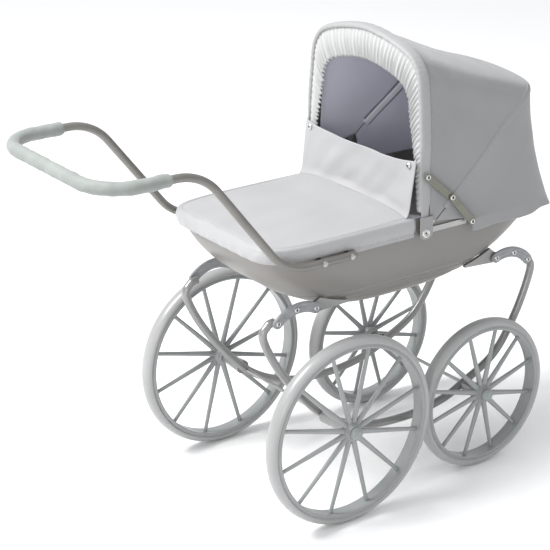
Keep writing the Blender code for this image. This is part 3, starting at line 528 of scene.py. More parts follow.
strap_look = Finish("grained_strap", (0.26, 0.27, 0.28), 0.42, Coat_Weight=0.3, Coat_Roughness=0.3)
strap_grain = strap_look.grain(260.0, 4.0, 0.6, stretch=(0.35, 1.0, 1.0))
strap_look.feed("Base Color", strap_look.colours(strap_grain, (0.12, 0.125, 0.13), (0.36, 0.37, 0.38)))
strap_look.feed("Roughness", spread(strap_grain, 0.3, 0.6))
strap_look.bumped(strap_grain, 0.55, 0.0008)
rivet_look = Finish("bright_rivet", (0.56, 0.56, 0.54), 0.24, Metallic=1.0)
rivet_look.scuffed(300.0, 0.18, 0.36)
# Within RIVET_BORE of the middle, every piece in this finish is painted near-black: painted shade for the
# dark inside of a hollow bore. Beyond it is grained bright metal.
RIVET_BORE = 0.0017
rivet_reach = rivet_look.node("ShaderNodeSeparateXYZ", {}, {0: rivet_look.node("ShaderNodeUVMap")})
metal_outside_painted_bore_shade = rivet_reach.sum("GREATER_THAN", rivet_reach, RIVET_BORE)
rivet_look.feed("Base Color", rivet_look.colours(metal_outside_painted_bore_shade * spread(rivet_look.grain(150.0), 0.7, 1.0),
                                                 (0.05, 0.05, 0.05), (0.70, 0.70, 0.68)))

hollow = turned("hollow_rivet", [
    (0, 0.0003), (0.0016, 0.0003), (0.0018, 0.0012), (0.0024, 0.0017), (0.0034, 0.0014), (0.0040, 0.0006),
    (0.0040, 0.0), (0, 0.0)], 28, 30)
STRAP_RISE = 0.0105
STRAP_HALF = 0.00775
STRAP_THICK = 0.0020
STRAP_RIDGE = 0.0004
RIVET_SEAT = 0.0038


def kept(value, low=0.0, high=1.0):
    """The value, kept between two limits."""
    return max(low, min(high, value))


def rounded_half(way, length, half):
    """Half the width of a bar with round ends, some way along it."""
    over = max(-way, way - length, 0.0)
    return math.sqrt(max(half ** 2 - over ** 2, 0.0))


def way_along(v, length, half):
    """How far along a bar with round ends a row of its grid lies."""
    return -half + (length + 2 * half) * (0.5 - 0.5 * math.cos(math.pi * v))


def inner_face(node, side):
    """The y of a node's face that looks towards the middle of the pram."""
    low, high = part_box(node)
    return low[1] if side > 0 else high[1]


def strap_arch(rivets):
    """The circle through a strap's end rivets: its centre, radius, first and last turn."""
    a, b = sorted((Vector(p) for p in rivets), key=lambda p: p.x)
    chord = (b - a).length
    radius = chord * chord / (8 * STRAP_RISE) + STRAP_RISE / 2
    drop = Vector(((b - a).y, -(b - a).x)).normalized()
    core = (a + b) / 2 + drop * (radius - STRAP_RISE)
    return core, radius, math.atan2(a.y - core.y, a.x - core.x), math.atan2(b.y - core.y, b.x - core.x)


def strap_point(u, v, arch, side, inner_y):
    core, radius, first, last = arch
    length = radius * (first - last)
    way = way_along(v, length, STRAP_HALF)
    turn = ROUND_TURN * u
    across = kept(1.15 * math.cos(turn), -1.0)
    face = kept(1.5 * math.sin(turn), -1.0)
    ridge = STRAP_RIDGE * math.cos(across * 3.2 * math.pi) if face > 0.9 else 0.0
    t = first - way / radius
    r = radius + across * rounded_half(way, length, STRAP_HALF)
    y = inner_y + side * (STRAP_THICK + STRAP_THICK * face + ridge)
    return at(core.x + r * math.cos(t), y, core.y + r * math.sin(t))


for end, rivets in (("rear", REAR_RIVETS), ("front", FRONT_RIVETS)):
    arch = strap_arch(rivets)
    core, radius, first, last = arch
    crown = (core.x + radius * math.cos((first + last) / 2),
             core.y + radius * math.sin((first + last) / 2) - 0.001)
    for hand, side in SIDES:
        inner_y = inner_face(f"{end}_strap_{hand}", side)
        strap = laid(f"arched_strap_{end}_{hand}", 56, 60,
                     lambda u, v: strap_point(u, v, arch, side, inner_y), closed=True, angle=50)
        finished(strap, strap_look, "chassis", "strap_plastic", f"{end}_strap_{hand}")
        heads = [put(hollow, "head", seat(at(x, inner_y + side * RIVET_SEAT, z), side))
                 for x, z in (*sorted(rivets), crown)]
        finished(joined(f"strap_rivets_{end}_{hand}", heads), rivet_look, "chassis", "snap_metal")
dressed(paint_look, *four("hanger"))

# ---- tub
# The tub is a thin boat-shaped moulding in warm grey, with two faint sheer lines low on its
# sides. It is darker inside, under the fabrics.

TUB_LOW, TUB_HIGH = (Vector(c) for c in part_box("tub"))
TUB_X = (TUB_LOW.x + TUB_HIGH.x) / 2
TUB_A = (TUB_HIGH.x - TUB_LOW.x) / 2
TUB_B = (TUB_HIGH.y - TUB_LOW.y) / 2
TUB_DEPTH = TUB_HIGH.z - TUB_LOW.z


@functools.lru_cache(maxsize=None)
def oval(a, b, power):
    t = np.linspace(0, ROUND_TURN, 1441)
    c, s = np.cos(t), np.sin(t)
    x = a * np.sign(c) * np.abs(c) ** (2 / power)
    y = b * np.sign(s) * np.abs(s) ** (2 / power)
    reach = np.concatenate([[0.0], np.cumsum(np.hypot(np.diff(x), np.diff(y)))])
    return x, y, reach / reach[-1]


def on_oval(share, a, b, power):
    """A place round a squared oval, a share of the way round it from its +X end."""
    x, y, reach = oval(a, b, power)
    return float(np.interp(share, reach, x)), float(np.interp(share, reach, y))


def hull(share, height, inset=0.0):
    """A place on the tub's wall at a height, a share of the way round."""
    rise = kept((height - TUB_LOW.z) / TUB_DEPTH)
    swell = 1 - (1 - rise) ** 2
    power = round(4.0 + 4.0 * rise ** 4, 4)
    half_length = round(TUB_A * swell ** 0.5 - inset, 6)
    half_width = round(TUB_B * swell ** 0.25 - inset, 6)
    x, y = on_oval(share, half_length, half_width, power)
    return Vector((TUB_X + x, y, height))


SHEER_LINES = (0.32, 0.20)
SHEER_STEP = 0.0012
TUB_WALL = 0.003


def hump(x, wide):
    """A soft bump, one high at nought."""
    return math.exp(-(x / wide) ** 2)


def tub_point(u, v):
    if v < 0.0001:
        return Vector((TUB_X, 0, TUB_LOW.z))
    rise = v ** 1.8
    proud = sum(hump(rise - line, 0.011) - hump(rise - line + 0.026, 0.012) for line in SHEER_LINES)
    return hull(u, TUB_LOW.z + TUB_DEPTH * rise, 0.0002 - SHEER_STEP * proud)


def modified(piece, kind, **settings):
    """Add a modifier, set it and apply it."""
    picked(piece)
    step = piece.modifiers.new("step", kind)
    for key, value in settings.items():
        setattr(step, key, value)
    bpy.ops.object.modifier_apply(modifier=step.name)
    return piece


def thickened(piece, thickness):
    """Give a sheet its thickness, inwards."""
    return modified(piece, "SOLIDIFY", thickness=thickness, offset=-1.0, use_even_offset=False)


tub_look = Finish("warm_grey_moulding", (0.30, 0.29, 0.275), 0.40, Coat_Weight=0.2, Coat_Roughness=0.3)
tub_place = tub_look.node("ShaderNodeSeparateXYZ", {}, {0: tub_look.place()})
# Painted light and shade: the tub's colour is lighter and warmer towards the foot end (-X), which faces the
# lamps, and darker towards the head end under the hood, mixed with random clouds.
tub_painted_light_and_clouds = tub_look.node("ShaderNodeMath", {"operation": "MULTIPLY_ADD", "use_clamp": True},
                         {0: tub_place, 1: -1.8, 2: 0.40}) * 0.6 + tub_look.grain(7.0, 4.0) * 0.4
tub_look.feed("Base Color", tub_look.colours(tub_painted_light_and_clouds, (0.170, 0.166, 0.158), (0.205, 0.190, 0.172)))
tub_look.scuffed(40.0, 0.33, 0.5, 3.0)
tub_look.pitted(650.0, 0.14, 0.0005)

tub = worked(laid("moulded_tub", 180, 90, tub_point), welded, outward)
thickened(tub, TUB_WALL)
smoothed(tub, 45)
finished(tub, tub_look, "chassis", "tub_plastic", "tub")

# ---- mattress
# A thin stuffed pad in plain cloth lies in the tub. It is swollen a little between its welted
# edges.

PAD_LOW, PAD_HIGH = (Vector(c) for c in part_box("mattress"))
PAD_INSET = 0.0135
PAD_PRESSURE = 4.0
PAD_SWELL = 0.003
PAD_GRAIN = 0.005
SWELL_STEPS = 20


def pad_point(u, v):
    lift = math.sin(math.pi * (v - 0.5))
    z = (PAD_LOW.z + PAD_HIGH.z) / 2 + (PAD_HIGH.z - PAD_LOW.z) * 0.40 * kept(1.6 * lift, -1)
    reach = max(math.cos(math.pi * (v - 0.5)), 0.0) ** 0.45
    edge = hull(u, kept(z, PAD_LOW.z + 0.003, PAD_HIGH.z), PAD_INSET)
    return Vector((TUB_X + (edge.x - TUB_X) * reach, edge.y * reach, z))


def plumped(piece):
    """Fill a pad with air for a moment, and keep how far it swells under a limit."""
    modified(piece, "REMESH", mode="VOXEL", voxel_size=PAD_GRAIN)
    rest = [v.co.copy() for v in piece.data.vertices]
    cloth = piece.modifiers.new("cloth", "CLOTH")
    cloth.settings.use_pressure = True
    cloth.settings.uniform_pressure_force = PAD_PRESSURE
    cloth.settings.effector_weights.gravity = 0
    cloth.point_cache.frame_end = SWELL_STEPS
    for step in range(1, SWELL_STEPS + 1):
        bpy.context.scene.frame_set(step)
    grown = piece.evaluated_get(bpy.context.evaluated_depsgraph_get()).data
    moves = [new.co - old for new, old in zip(grown.vertices, rest)]
    piece.modifiers.clear()
    for vertex, old, move in zip(piece.data.vertices, rest, moves):
        vertex.co = old + (move if move.length < PAD_SWELL else move.normalized() * PAD_SWELL)
    bpy.context.scene.frame_set(1)
    modified(piece, "SUBSURF", levels=1, render_levels=1)


pad_look = Finish("plain_pad_cloth", (0.50, 0.50, 0.55), 0.85, Sheen_Weight=0.2)
pad_thread = pad_look.grain(900.0, 1.0)
pad_look.feed("Base Color", pad_look.colours(pad_thread, (0.44, 0.44, 0.49), (0.56, 0.56, 0.61)))
pad_look.bumped(pad_thread, 0.25, 0.0005)
pad_look.scuffed(60.0, 0.8, 0.9)
pad = laid("stuffed_mattress", 96, 24, pad_point, closed=True)
plumped(pad)
finished(smoothed(pad), pad_look, "chassis", "pad_fabric", "mattress")

# ---- handle
# The handle is one bent tube in warm grey paint, bolted to the tub's sides. A thick foam sleeve
# covers its U.

HANDLE_SIDE = extent_of("handle_tube").y / 2
HANDLE_TUBE = 0.0050
HANDLE_PAINTED = 0.0058
HANDLE_Y = HANDLE_SIDE - HANDLE_TUBE
FOOT_Z = middle_of("rear_handle_bolt_left").z
GRIP_LOW, GRIP_HIGH = (Vector(c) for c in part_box("handle_grip"))
TOP_Z = (GRIP_LOW.z + GRIP_HIGH.z) / 2
GRIP_RADIUS = (GRIP_HIGH.z - GRIP_LOW.z) / 2
BAR_X = GRIP_LOW.x + GRIP_RADIUS
FOOT_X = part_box("handle_tube")[1][0]
RISE_START = WHEELBASE_MIDDLE - 0.225
RISE_END = WHEELBASE_MIDDLE - 0.356
RISE_BEND = 0.078
GRIP_BEND = 0.056


def bent(corners, radii, steps):
    """A path through the corners, each inner corner rounded to its radius."""
    path = [Vector(corners[0])]
    for before, corner, after, radius in zip(corners, corners[1:], corners[2:], radii):
        corner = Vector(corner)
        back = (Vector(before) - corner).normalized()
        on = (Vector(after) - corner).normalized()
        half = back.angle(on) / 2
        centre = corner + (back + on).normalized() * radius / math.sin(half)
        start = corner + back * radius / math.tan(half) - centre
        end = corner + on * radius / math.tan(half) - centre
        path += [centre + start.slerp(end, i / steps).normalized() * radius for i in range(steps + 1)]
    path.append(Vector(corners[-1]))
    return path


side_run = [(FOOT_X, FOOT_Z), (RISE_START, FOOT_Z), (RISE_END, TOP_Z), (BAR_X, TOP_Z)]
handle_line = bent([(x, -HANDLE_Y, z) for x, z in side_run]
                   + [(x, HANDLE_Y, z) for x, z in reversed(side_run)],
                   [RISE_BEND] * 2 + [GRIP_BEND] * 2 + [RISE_BEND] * 2, 14)
handle_look = Finish("warm_grey_handle_paint", (0.29, 0.275, 0.25), 0.34, Metallic=0.5,
                     Coat_Weight=0.35, Coat_Roughness=0.2)
handle_look.mottled(18.0, (0.135, 0.13, 0.118), (0.23, 0.222, 0.205), 3.0)
handle_look.scuffed(70.0, 0.26, 0.44)
handle_look.pitted(380.0, 0.1, 0.0004)
handle = tube("bent_handle", handle_line, HANDLE_PAINTED)
finished(handle, handle_look, "chassis", "handle_paint", "handle_tube")


def walked(path, step):
    """The path again, with a point every step of the way."""
    reach = [0.0]
    for a, b in zip(path, path[1:]):
        reach.append(reach[-1] + (b - a).length)
    count = max(2, round(reach[-1] / step))
    found = []
    k = 0
    for i in range(count + 1):
        want = reach[-1] * i / count
        while k < len(path) - 2 and reach[k + 1] < want:
            k += 1
        found.append(path[k].lerp(path[k + 1], (want - reach[k]) / max(reach[k + 1] - reach[k], 1e-9)))
    return found


GRIP_START = GRIP_HIGH.x
grip_ends = [Vector((GRIP_START, y, TOP_Z)) for y in (-HANDLE_Y, HANDLE_Y)]
level = [p for p in handle_line if p.x < GRIP_START - 0.002]
level = walked([grip_ends[0]] + level + [grip_ends[1]], 0.003)
grip = tube("foam_grip", level, GRIP_RADIUS - 0.0002, 12)
for vertex in grip.data.vertices:
    near = min(level, key=lambda p: (p - vertex.co).length_squared)
    out = vertex.co - near
    if out.length > GRIP_RADIUS * 0.5:
        to_end = GRIP_START - vertex.co.x
        worn = 0.0008 * noise.noise(vertex.co * 90) + 0.0003 * noise.noise(vertex.co * 260)
        blunt = 0.0022 * math.exp(-max(to_end, 0.0) / 0.0016)
        vertex.co = near + out.normalized() * min(out.length - blunt - 0.0004 + worn, GRIP_RADIUS)
        vertex.co.x += 0.0010 * noise.noise(vertex.co * 160) * math.exp(-max(to_end, 0.0) / 0.004)
grip_look = Finish("grey_green_foam", (0.42, 0.455, 0.435), 0.68, Sheen_Weight=0.15)
grip_cell = grip_look.grain(420.0, 3.0, 0.6)
grip_look.mottled(35.0, (0.19, 0.205, 0.195), (0.28, 0.30, 0.285), 4.0)
grip_look.feed("Roughness", spread(grip_cell, 0.6, 0.78))
grip_look.bumped(grip_cell, 0.35, 0.0006)
finished(grip, grip_look, "chassis", "grip_foam", "handle_grip")
dressed(steel_look, *four("handle_bolt"))

# ---- hood bows
# Three flat steel hoops turn on one rivet each side. The rear one lies along the tub's rim, the
# middle one leans back, and the front one stands upright.

dressed(steel_look, "hood_base_bow", "hood_middle_bow", "hood_front_bow")

HINGE_X = middle_of("hood_hinge_rivet_left").x
HINGE_Z = middle_of("hood_hinge_rivet_left").z
STRIP = 0.0016
FRONT_FOOT = extent_of("hood_front_bow").y / 2 - STRIP / 2
FRONT_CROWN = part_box("hood_front_bow")[1][2] - HINGE_Z - STRIP / 2
FRONT_ANGLE = 90.0
MIDDLE_ANGLE = 40.5
MIDDLE_CROWN = 0.281
HALF_CROWN = 0.121
SHARP = 0.25
BOWS = {"front": (FRONT_ANGLE, FRONT_CROWN, 0.45, ((0.925, 0.86), (0.66, 0.948))),
        "middle": (MIDDLE_ANGLE, MIDDLE_CROWN, 0.25, ((0.985, 0.885), (0.80, 0.968)))}
COLUMNS = 150
HOOD_HEART = Vector((HINGE_X + 0.08, 0, HINGE_Z + 0.05))


def hoop_off(which, up, across, low, cut):
    """A line over a bow, off its crown, sides and feet, whose ends stop short of the hinge."""
    angle, crown, lean, shoulder = BOWS[which]
    crown, half, foot = crown + up, HALF_CROWN + across, FRONT_FOOT + low
    line = [(foot, 0.0), (foot - lean * (foot - half), crown * 0.42), (half, crown * 0.70)]
    line += [(half * y, crown * r) for y, r in shoulder] + [(0, crown)]
    line += [(-y, r) for y, r in line[-2::-1]]
    c, s = math.cos(math.radians(angle)), math.sin(math.radians(angle))
    path = eased([(HINGE_X + r * c, -y, HINGE_Z + r * s) for y, r in line], 15)
    first = cut / (path[1] - path[0]).length
    last = len(path) - 1
    return [on_line(path, (first + (last - 2 * first) * i / COLUMNS) / last) for i in range(COLUMNS + 1)]


def hoop(which, out, cut=0.022):
    return hoop_off(which, out, out, out, cut)


def on_line(path, share):
    """A place on a line, at a share of its points."""
    want = kept(share) * (len(path) - 1)
    k = min(int(want), len(path) - 2)
    return path[k].lerp(path[k + 1], want - k)


def reach_of(path):
    return sum((b - a).length for a, b in zip(path, path[1:]))


def sharpened(x, power):
    return math.copysign(abs(x) ** power, x)


def rim_line(out, lift, foot, cut=0.018):
    """A line along the rim from the right hinge, round the head end, to the left hinge."""
    reach = TUB_HIGH.x + out - HINGE_X
    path = []
    for i in range(241):
        turn = math.pi * (i / 240 - 0.5)
        x = HINGE_X + reach * abs(math.cos(turn)) ** SHARP
        path.append(Vector((x, foot * sharpened(math.sin(turn), SHARP), HINGE_Z + lift)))
    path = [p for p in path if p.x > HINGE_X + cut]
    return walked(path, reach_of(path) / COLUMNS)


def turn_about_hinge(p):
    return math.degrees(math.atan2(p.z - HINGE_Z, p.x - HINGE_X))


def stretched_between(piece, low, high, weight):
    """Bake a piece's transform and work out each point's share from weight; the shares are not kept, and
    low and high are not used.
    """
    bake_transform(piece)
    shares = [kept(weight(v.co)) for v in piece.data.vertices]


def front_share(p):
    return (turn_about_hinge(p) - MIDDLE_ANGLE) / (FRONT_ANGLE - MIDDLE_ANGLE)


def rear_share(p):
    return turn_about_hinge(p) / MIDDLE_ANGLE


def lining_share(p):
    """The rear lining's own share, which is nought all along its lower edge."""
    still = math.degrees(math.atan2(LINING_LIFT, max(p.x - HINGE_X, 0.001)))
    return (turn_about_hinge(p) - still) / max(MIDDLE_ANGLE - still, 1.0)


def area_of(piece):
    return sum(face.area for face in piece.data.polygons)


def normal_of(place, u, v):
    """The outward direction of a laid surface."""
    step = 0.004
    across = place(min(u + step, 1), v) - place(max(u - step, 0), v)
    along = place(u, min(v + step, 1)) - place(u, max(v - step, 0))
    found = across.cross(along).normalized()
    return found if found.dot(place(u, v) - HOOD_HEART) > 0 else -found


def faced(piece, away):
    """Turn a sheet over if it mostly faces against the way that away(face) gives."""
    if sum(face.normal.dot(away(face)) for face in piece.data.polygons) < 0:
        worked(piece, bpy.ops.mesh.flip_normals)


# ---- hood cover
# The cover is taut silvery twill in two gores, sewn together over the middle bow. A stuffed roll
# runs round its front edge, and its lower edge hangs free below the rim. The lining is lilac grey.


def twilled(name, dark, light, rough, pitch=0.0014):
    """Twill cloth: fine slanting ribs, threads of slightly uneven tone."""
    look = Finish(name, light, rough, Sheen_Weight=0.25, Sheen_Roughness=0.4)
    spot = look.node("ShaderNodeUVMap")
    x = look.node("ShaderNodeSeparateXYZ", {}, {0: spot}, 0)
    y = look.node("ShaderNodeSeparateXYZ", {}, {0: spot}, 1)
    ribs = x.sum("SINE", (x + y) * (2 * math.pi / pitch)) * 0.5 + 0.5
    threads = look.grain(700.0, 2.0)
    worn = look.grain(9.0, 3.0)
    look.feed("Base Color", look.colours(worn * 0.6 + threads * 0.3 + ribs * 0.1, dark, light))
    look.feed("Roughness", spread(threads, rough - 0.06, rough + 0.06))
    look.bumped(ribs * 0.5 + threads * 0.5, 0.45, 0.0004)
    return look


hood_look = twilled("silvery_twill", (0.215, 0.215, 0.218), (0.30, 0.30, 0.303), 0.48)
roll_look = twilled("silvery_roll", (0.27, 0.27, 0.272), (0.37, 0.37, 0.372), 0.5)
lining_look = twilled("lilac_lining", (0.70, 0.71, 0.80), (0.82, 0.83, 0.92), 0.7, 0.0006)
sleeve_look = twilled("bow_sleeve", (0.80, 0.80, 0.86), (0.92, 0.92, 0.96), 0.66)
welt_look = twilled("dark_welt", (0.20, 0.21, 0.25), (0.27, 0.28, 0.33), 0.7)

COVER_OUT = 0.0023
HEM_DROP = 0.018
LINING_IN = -0.0048
LINING_LIFT = TUB_HIGH.z - HINGE_Z + 0.003
LINING_FOOT = FRONT_FOOT - 0.0062
COVER_THICK = 0.001
LINING_THICK = 0.0008
RIM_SHARE = 0.84
SEAM_GAP = 0.001
RIDGE_FALL = 0.56
ROLL_HALF = 0.0092
AHEAD = Vector((-math.sin(math.radians(MIDDLE_ANGLE)), 0, math.cos(math.radians(MIDDLE_ANGLE))))


def gore_front(out, sag, fold, front_cut=0.022, middle_cut=0.022):
    """The gore from the roll back to the seam."""
    first = [p + Vector((ROLL_HALF - SEAM_GAP, 0, 0)) for p in hoop("front", out, front_cut)]
    last = [p + AHEAD * SEAM_GAP for p in hoop("middle", out, middle_cut)]

    def flat(u, v):
        return on_line(first, u).lerp(on_line(last, u), v)

    def place(u, v):
        p = flat(u, v)
        high = kept((p.z - HINGE_Z - 0.10) / 0.12)
        belly = 4 * v * (1 - v)
        tuck = 0.0016 * math.exp(-v / 0.05)
        slant = Vector((p.x * 26 + p.z * 18, p.y * 34 - p.x * 30, 0.0))
        soft = fold * noise.noise(slant) * (0.35 + 0.65 * high) * (belly ** 0.5)
        crease = fold * 0.7 * hump(math.sin(u * 46 + v * 5) - 0.9, 0.16) * math.exp(-v / 0.22)
        return p + normal_of(flat, u, v) * (soft - crease - tuck - sag * belly * (0.15 + 0.85 * high))
    return place, reach_of(first), (on_line(first, 0.5) - on_line(last, 0.5)).length


def gore_rear(out, sag, fold, drop, lift, foot, middle_cut=0.022, rim_cut=0.018):
    """The gore from the seam back to the rim, with a loose hem that hangs past the rim."""
    first = [p - AHEAD * SEAM_GAP for p in hoop("middle", out, middle_cut)]
    base = rim_line(out + (0.0050 if out > 0 else 0.001), lift, foot, rim_cut)

    def flat(u, v):
        if v < RIM_SHARE:
            return on_line(first, u).lerp(on_line(base, u), v / RIM_SHARE)
        p = on_line(base, u).copy()
        down = (v - RIM_SHARE) / (1 - RIM_SHARE)
        back = kept((p.x - HINGE_X - 0.12) / 0.10)
        loose = drop / HEM_DROP
        sideways = math.copysign(1.0, p.y) if abs(p.y) > 0.07 else 0.0
        out_way = Vector((1.0 if back > 0.6 else 0.2, sideways, 0)).normalized()
        p += out_way * down * (0.0010 + 0.0040 * back) * loose * (1 + 0.35 * math.sin(u * 74))
        p.z -= down * (drop * (1 - 0.28 * back ** 2) + 0.0012 * math.sin(u * 41 + 1) * loose)
        return p

    def place(u, v):
        if v >= RIM_SHARE:
            return flat(u, v)
        w = v / RIM_SHARE
        p = flat(u, v)
        belly = 4 * w * (1 - w)
        soft = fold * noise.noise(Vector((p.x * 30 - p.z * 12, p.y * 26 + p.z * 20, 4.0))) * belly
        return p + normal_of(flat, u, min(v, RIM_SHARE - 0.01)) * (soft - sag * belly)
    return place, reach_of(base), (on_line(first, 0.5) - on_line(base, 0.5)).length + drop


def gore(name, build, look, shares, bodies, nodes, thickness):
    """One gore: laid, thickened and given its finish; its shares between its two bows are worked out but
    not used.
    """
    place, width, length = build
    piece = laid(name, COLUMNS, 44, place, (width, length))
    area = area_of(piece)
    worked(piece, outward)
    faced(piece, lambda face: face.center - HOOD_HEART)
    thickened(piece, thickness)
    finished(piece, look, None, "hood_fabric", *nodes)
    stretched_between(piece, *bodies, shares)
    max(width, area / length)
    length * 1.06
    min(area, max(width, area / length) * length * 1.06)


FRONT_BODIES = ("middle_bow", "front_bow")
REAR_BODIES = ("chassis", "middle_bow")
gore("front_gore", gore_front(COVER_OUT, 0.005, 0.0016), hood_look, front_share, FRONT_BODIES,
     ["hood_front_panel"], COVER_THICK)
gore("rear_gore", gore_rear(COVER_OUT, 0.004, 0.0010, HEM_DROP, 0.004, FRONT_FOOT + COVER_OUT),
     hood_look, rear_share, REAR_BODIES, ["hood_rear_panel"],
     COVER_THICK)
gore("front_lining", gore_front(LINING_IN, 0.004, 0.0010, 0.050, 0.100), lining_look, front_share,
     FRONT_BODIES, [], LINING_THICK)
gore("rear_lining", gore_rear(LINING_IN, 0.003, 0.0008, 0.001, LINING_LIFT, LINING_FOOT, 0.100, 0.060),
     lining_look, lining_share, REAR_BODIES, [], LINING_THICK)


def band(name, cut, half, height, look):
    """A ribbon of cloth along the middle bow. height(v) is how far it stands out across its width."""
    line = hoop("middle", 0.0, cut)
    heart = HOOD_HEART - Vector((0.02, 0, 0))

    def place(u, v):
        p = on_line(line, u) + AHEAD * half * (2 * v - 1)
        span = on_line(line, min(u + 0.004, 1)) - on_line(line, max(u - 0.004, 0))
        out = span.cross(AHEAD).normalized()
        if out.dot(p - heart) < 0:
            out = -out
        fall = (1 - abs(out.y)) * abs(2 * v - 1) * half * RIDGE_FALL
        return p + out * (height(v) - fall)

    piece = laid(name, 300, 12, place, (reach_of(line), 2 * half))
    area = area_of(piece)
    faced(piece, lambda face: face.center - heart)
    thickened(piece, LINING_THICK)
    finished(piece, look, "middle_bow", "hood_fabric")
    width = max(reach_of(line), area / (2 * half)) * 1.01


def off_edge(v):
    """How far in from the nearer edge of a ribbon, as a share of half its width."""
    return min(v, 1 - v) * 2


def tape_height(v):
    stitch = 0.0003 * hump(off_edge(v) - 0.45, 0.12)
    return COVER_OUT - 0.0002 + 0.0008 * min(off_edge(v) * 3, 1.0) - stitch


def sleeve_height(v):
    return -0.0066 - 0.0022 * min(off_edge(v) * 2, 1.0)


def welt_height(v):
    return -0.0060 - 0.0010 * min(off_edge(v) * 3, 1.0)


band("middle_seam_tape", 0.045, 0.0051, tape_height, hood_look)
band("middle_bow_sleeve", 0.125, 0.0058, sleeve_height, sleeve_look)
band("middle_bow_welt", 0.130, 0.0085, welt_height, welt_look)

roll_line = hoop("front", 0.0, 0.016)


def roll_point(u, v):
    p = on_line(roll_line, v)
    span = on_line(roll_line, min(v + 0.004, 1)) - on_line(roll_line, max(v - 0.004, 0))
    out = span.cross(Vector((1, 0, 0))).normalized()
    if out.dot(p - Vector((HINGE_X, 0, HINGE_Z + 0.08))) < 0:
        out = -out
    turn = ROUND_TURN * u
    high = kept((p.z - HINGE_Z - 0.096) / 0.030)
    gather = 1 + 0.05 * noise.noise(p * 55) + 0.03 * math.sin(v * 330)
    taper = min(0.35 + 0.65 * max(p.z - HINGE_Z, 0.0) / 0.048, 1.0)
    wide = ROLL_HALF * sharpened(math.cos(turn), 0.75) * gather * taper
    deep = (0.0017 + 0.0026 * high) * sharpened(math.sin(turn), 0.75) * gather
    return p + Vector((wide, 0, 0)) + out * (0.0004 + 0.0012 * high + deep)


roll = laid("front_roll", 28, 260, roll_point, (0.05, reach_of(roll_line)), closed=True)
finished(roll, roll_look, "front_bow", "hood_fabric")

# ---- gathered edge
# A frill of thin white cloth is sewn inside the roll and gathered on elastic round the mouth.

ruffle_look = twilled("thin_frill_cloth", (0.38, 0.385, 0.38), (0.50, 0.505, 0.50), 0.7, 0.0006)
RUFFLE_CROWN, RUFFLE_SHOULDER, RUFFLE_SIDE = 0.043, 0.021, 0.009
MOUTH_CUT = 0.030
PLEAT = 0.0085
outer_line = hoop("front", -0.0005, MOUTH_CUT)
inner_line = hoop_off("front", -RUFFLE_CROWN, -RUFFLE_SHOULDER, -RUFFLE_SIDE, MOUTH_CUT)


def reach_at(path, share):
    """How far along a line a share of its points comes."""
    k = min(int(share * (len(path) - 1)), len(path) - 2)
    return reach_of(path[:k + 1]) + (on_line(path, share) - path[k]).length


def ruffle_point(u, v):
    a = on_line(outer_line, u)
    b = on_line(inner_line, u)
    wide = (b - a).length
    uneven = reach_at(outer_line, u) * ROUND_TURN / PLEAT + 2.2 * noise.noise(Vector((u * 38, 0, 0)))
    wave = math.sin(uneven)
    fine = math.sin(uneven * 2.7 + 1.0)
    deep = (0.0004 + 0.0017 * v ** 0.7) * min(wide / 0.034, 1.0) ** 0.8
    ripple = (0.0016 * wave + 0.0009 * fine) * v * v * min(wide / 0.03, 1.0)
    p = a.lerp(b, v * (1 + ripple / wide))
    cup = 0.0025 * math.sin(math.pi * v)
    return p + Vector((-ROLL_HALF * 0.62 - cup + deep * wave + 0.0004 * fine * v, 0, 0))


ruffle = laid("gathered_edge", 900, 14, ruffle_point, (reach_of(outer_line) * 1.5, RUFFLE_CROWN))
ruffle_area = area_of(ruffle)
thickened(ruffle, 0.0006)
finished(ruffle, ruffle_look, "front_bow", "ruffle_fabric", "hood_ruffle")
ruffle_length = reach_of(outer_line) * 1.25
min(ruffle_area, ruffle_length * RUFFLE_CROWN)

# ---- hinge tabs and eyelets
# A cloth tab covers the hinge each side. A big silver eyelet pins it to the rim; the middle of its hole is
# painted near-black as shade.

eyelet = turned("eyelet", [(0, 0.0002), (0.0032, 0.0002), (0.0034, 0.0012), (0.0046, 0.0019),
                           (0.0060, 0.0015), (0.0068, 0.0004), (0.0068, 0.0), (0, 0.0)], 32, 30)


TAB_HALF = 0.0115
TAB_LENGTH = 0.034
TAB_THICK = 0.0008


def tab_point(u, v, side):
    """A strip of cloth over the hinge, with a round lower end."""
    a = (u - 0.5) * 2
    z = HINGE_Z - 0.0100 + TAB_LENGTH * v
    wide = TAB_HALF if v > 0.3 else TAB_HALF * math.sqrt(max(1 - ((0.3 - v) / 0.3) ** 2, 0.0))
    bulge = 0.0005 * math.cos(a * 1.4)
    return Vector((HINGE_X + 0.001 + wide * a, side * (FRONT_FOOT + 0.0028 + bulge), z))


for hand, side in SIDES:
    tab = laid(f"hinge_tab_{hand}", 16, 20, lambda u, v: tab_point(u, v, side), (0.023, TAB_LENGTH))
    faced(tab, lambda face: Vector((0, side, 0)))
    thickened(tab, TAB_THICK)
    finished(tab, hood_look, "front_bow", "hood_fabric")
    place = seat((HINGE_X, side * (FRONT_FOOT + 0.0031), HINGE_Z), side)
    finished(put(eyelet, f"hinge_eyelet_{hand}", place), rivet_look, "chassis", "snap_metal",
             f"hood_hinge_rivet_{hand}")
dropped(eyelet)

# ---- folding stays
# Each stay is two flat bars in olive-grey metal, with hollow rivets at the bow, the elbow and
# the rim. They cross the cover's outside.

olive_look = Finish("olive_grey_metal", (0.20, 0.20, 0.165), 0.38, Metallic=0.7, Coat_Weight=0.2)
olive_scratch = olive_look.grain(120.0, 5.0, 0.65, stretch=(0.3, 1.0, 1.0))
olive_look.feed("Base Color", olive_look.colours(olive_scratch, (0.14, 0.14, 0.115), (0.24, 0.24, 0.20)))
olive_look.feed("Roughness", spread(olive_scratch, 0.28, 0.5))
olive_look.bumped(olive_scratch, 0.12, 0.0003)


STAY_HALF = 0.00525
STAY_THICK = 0.0016


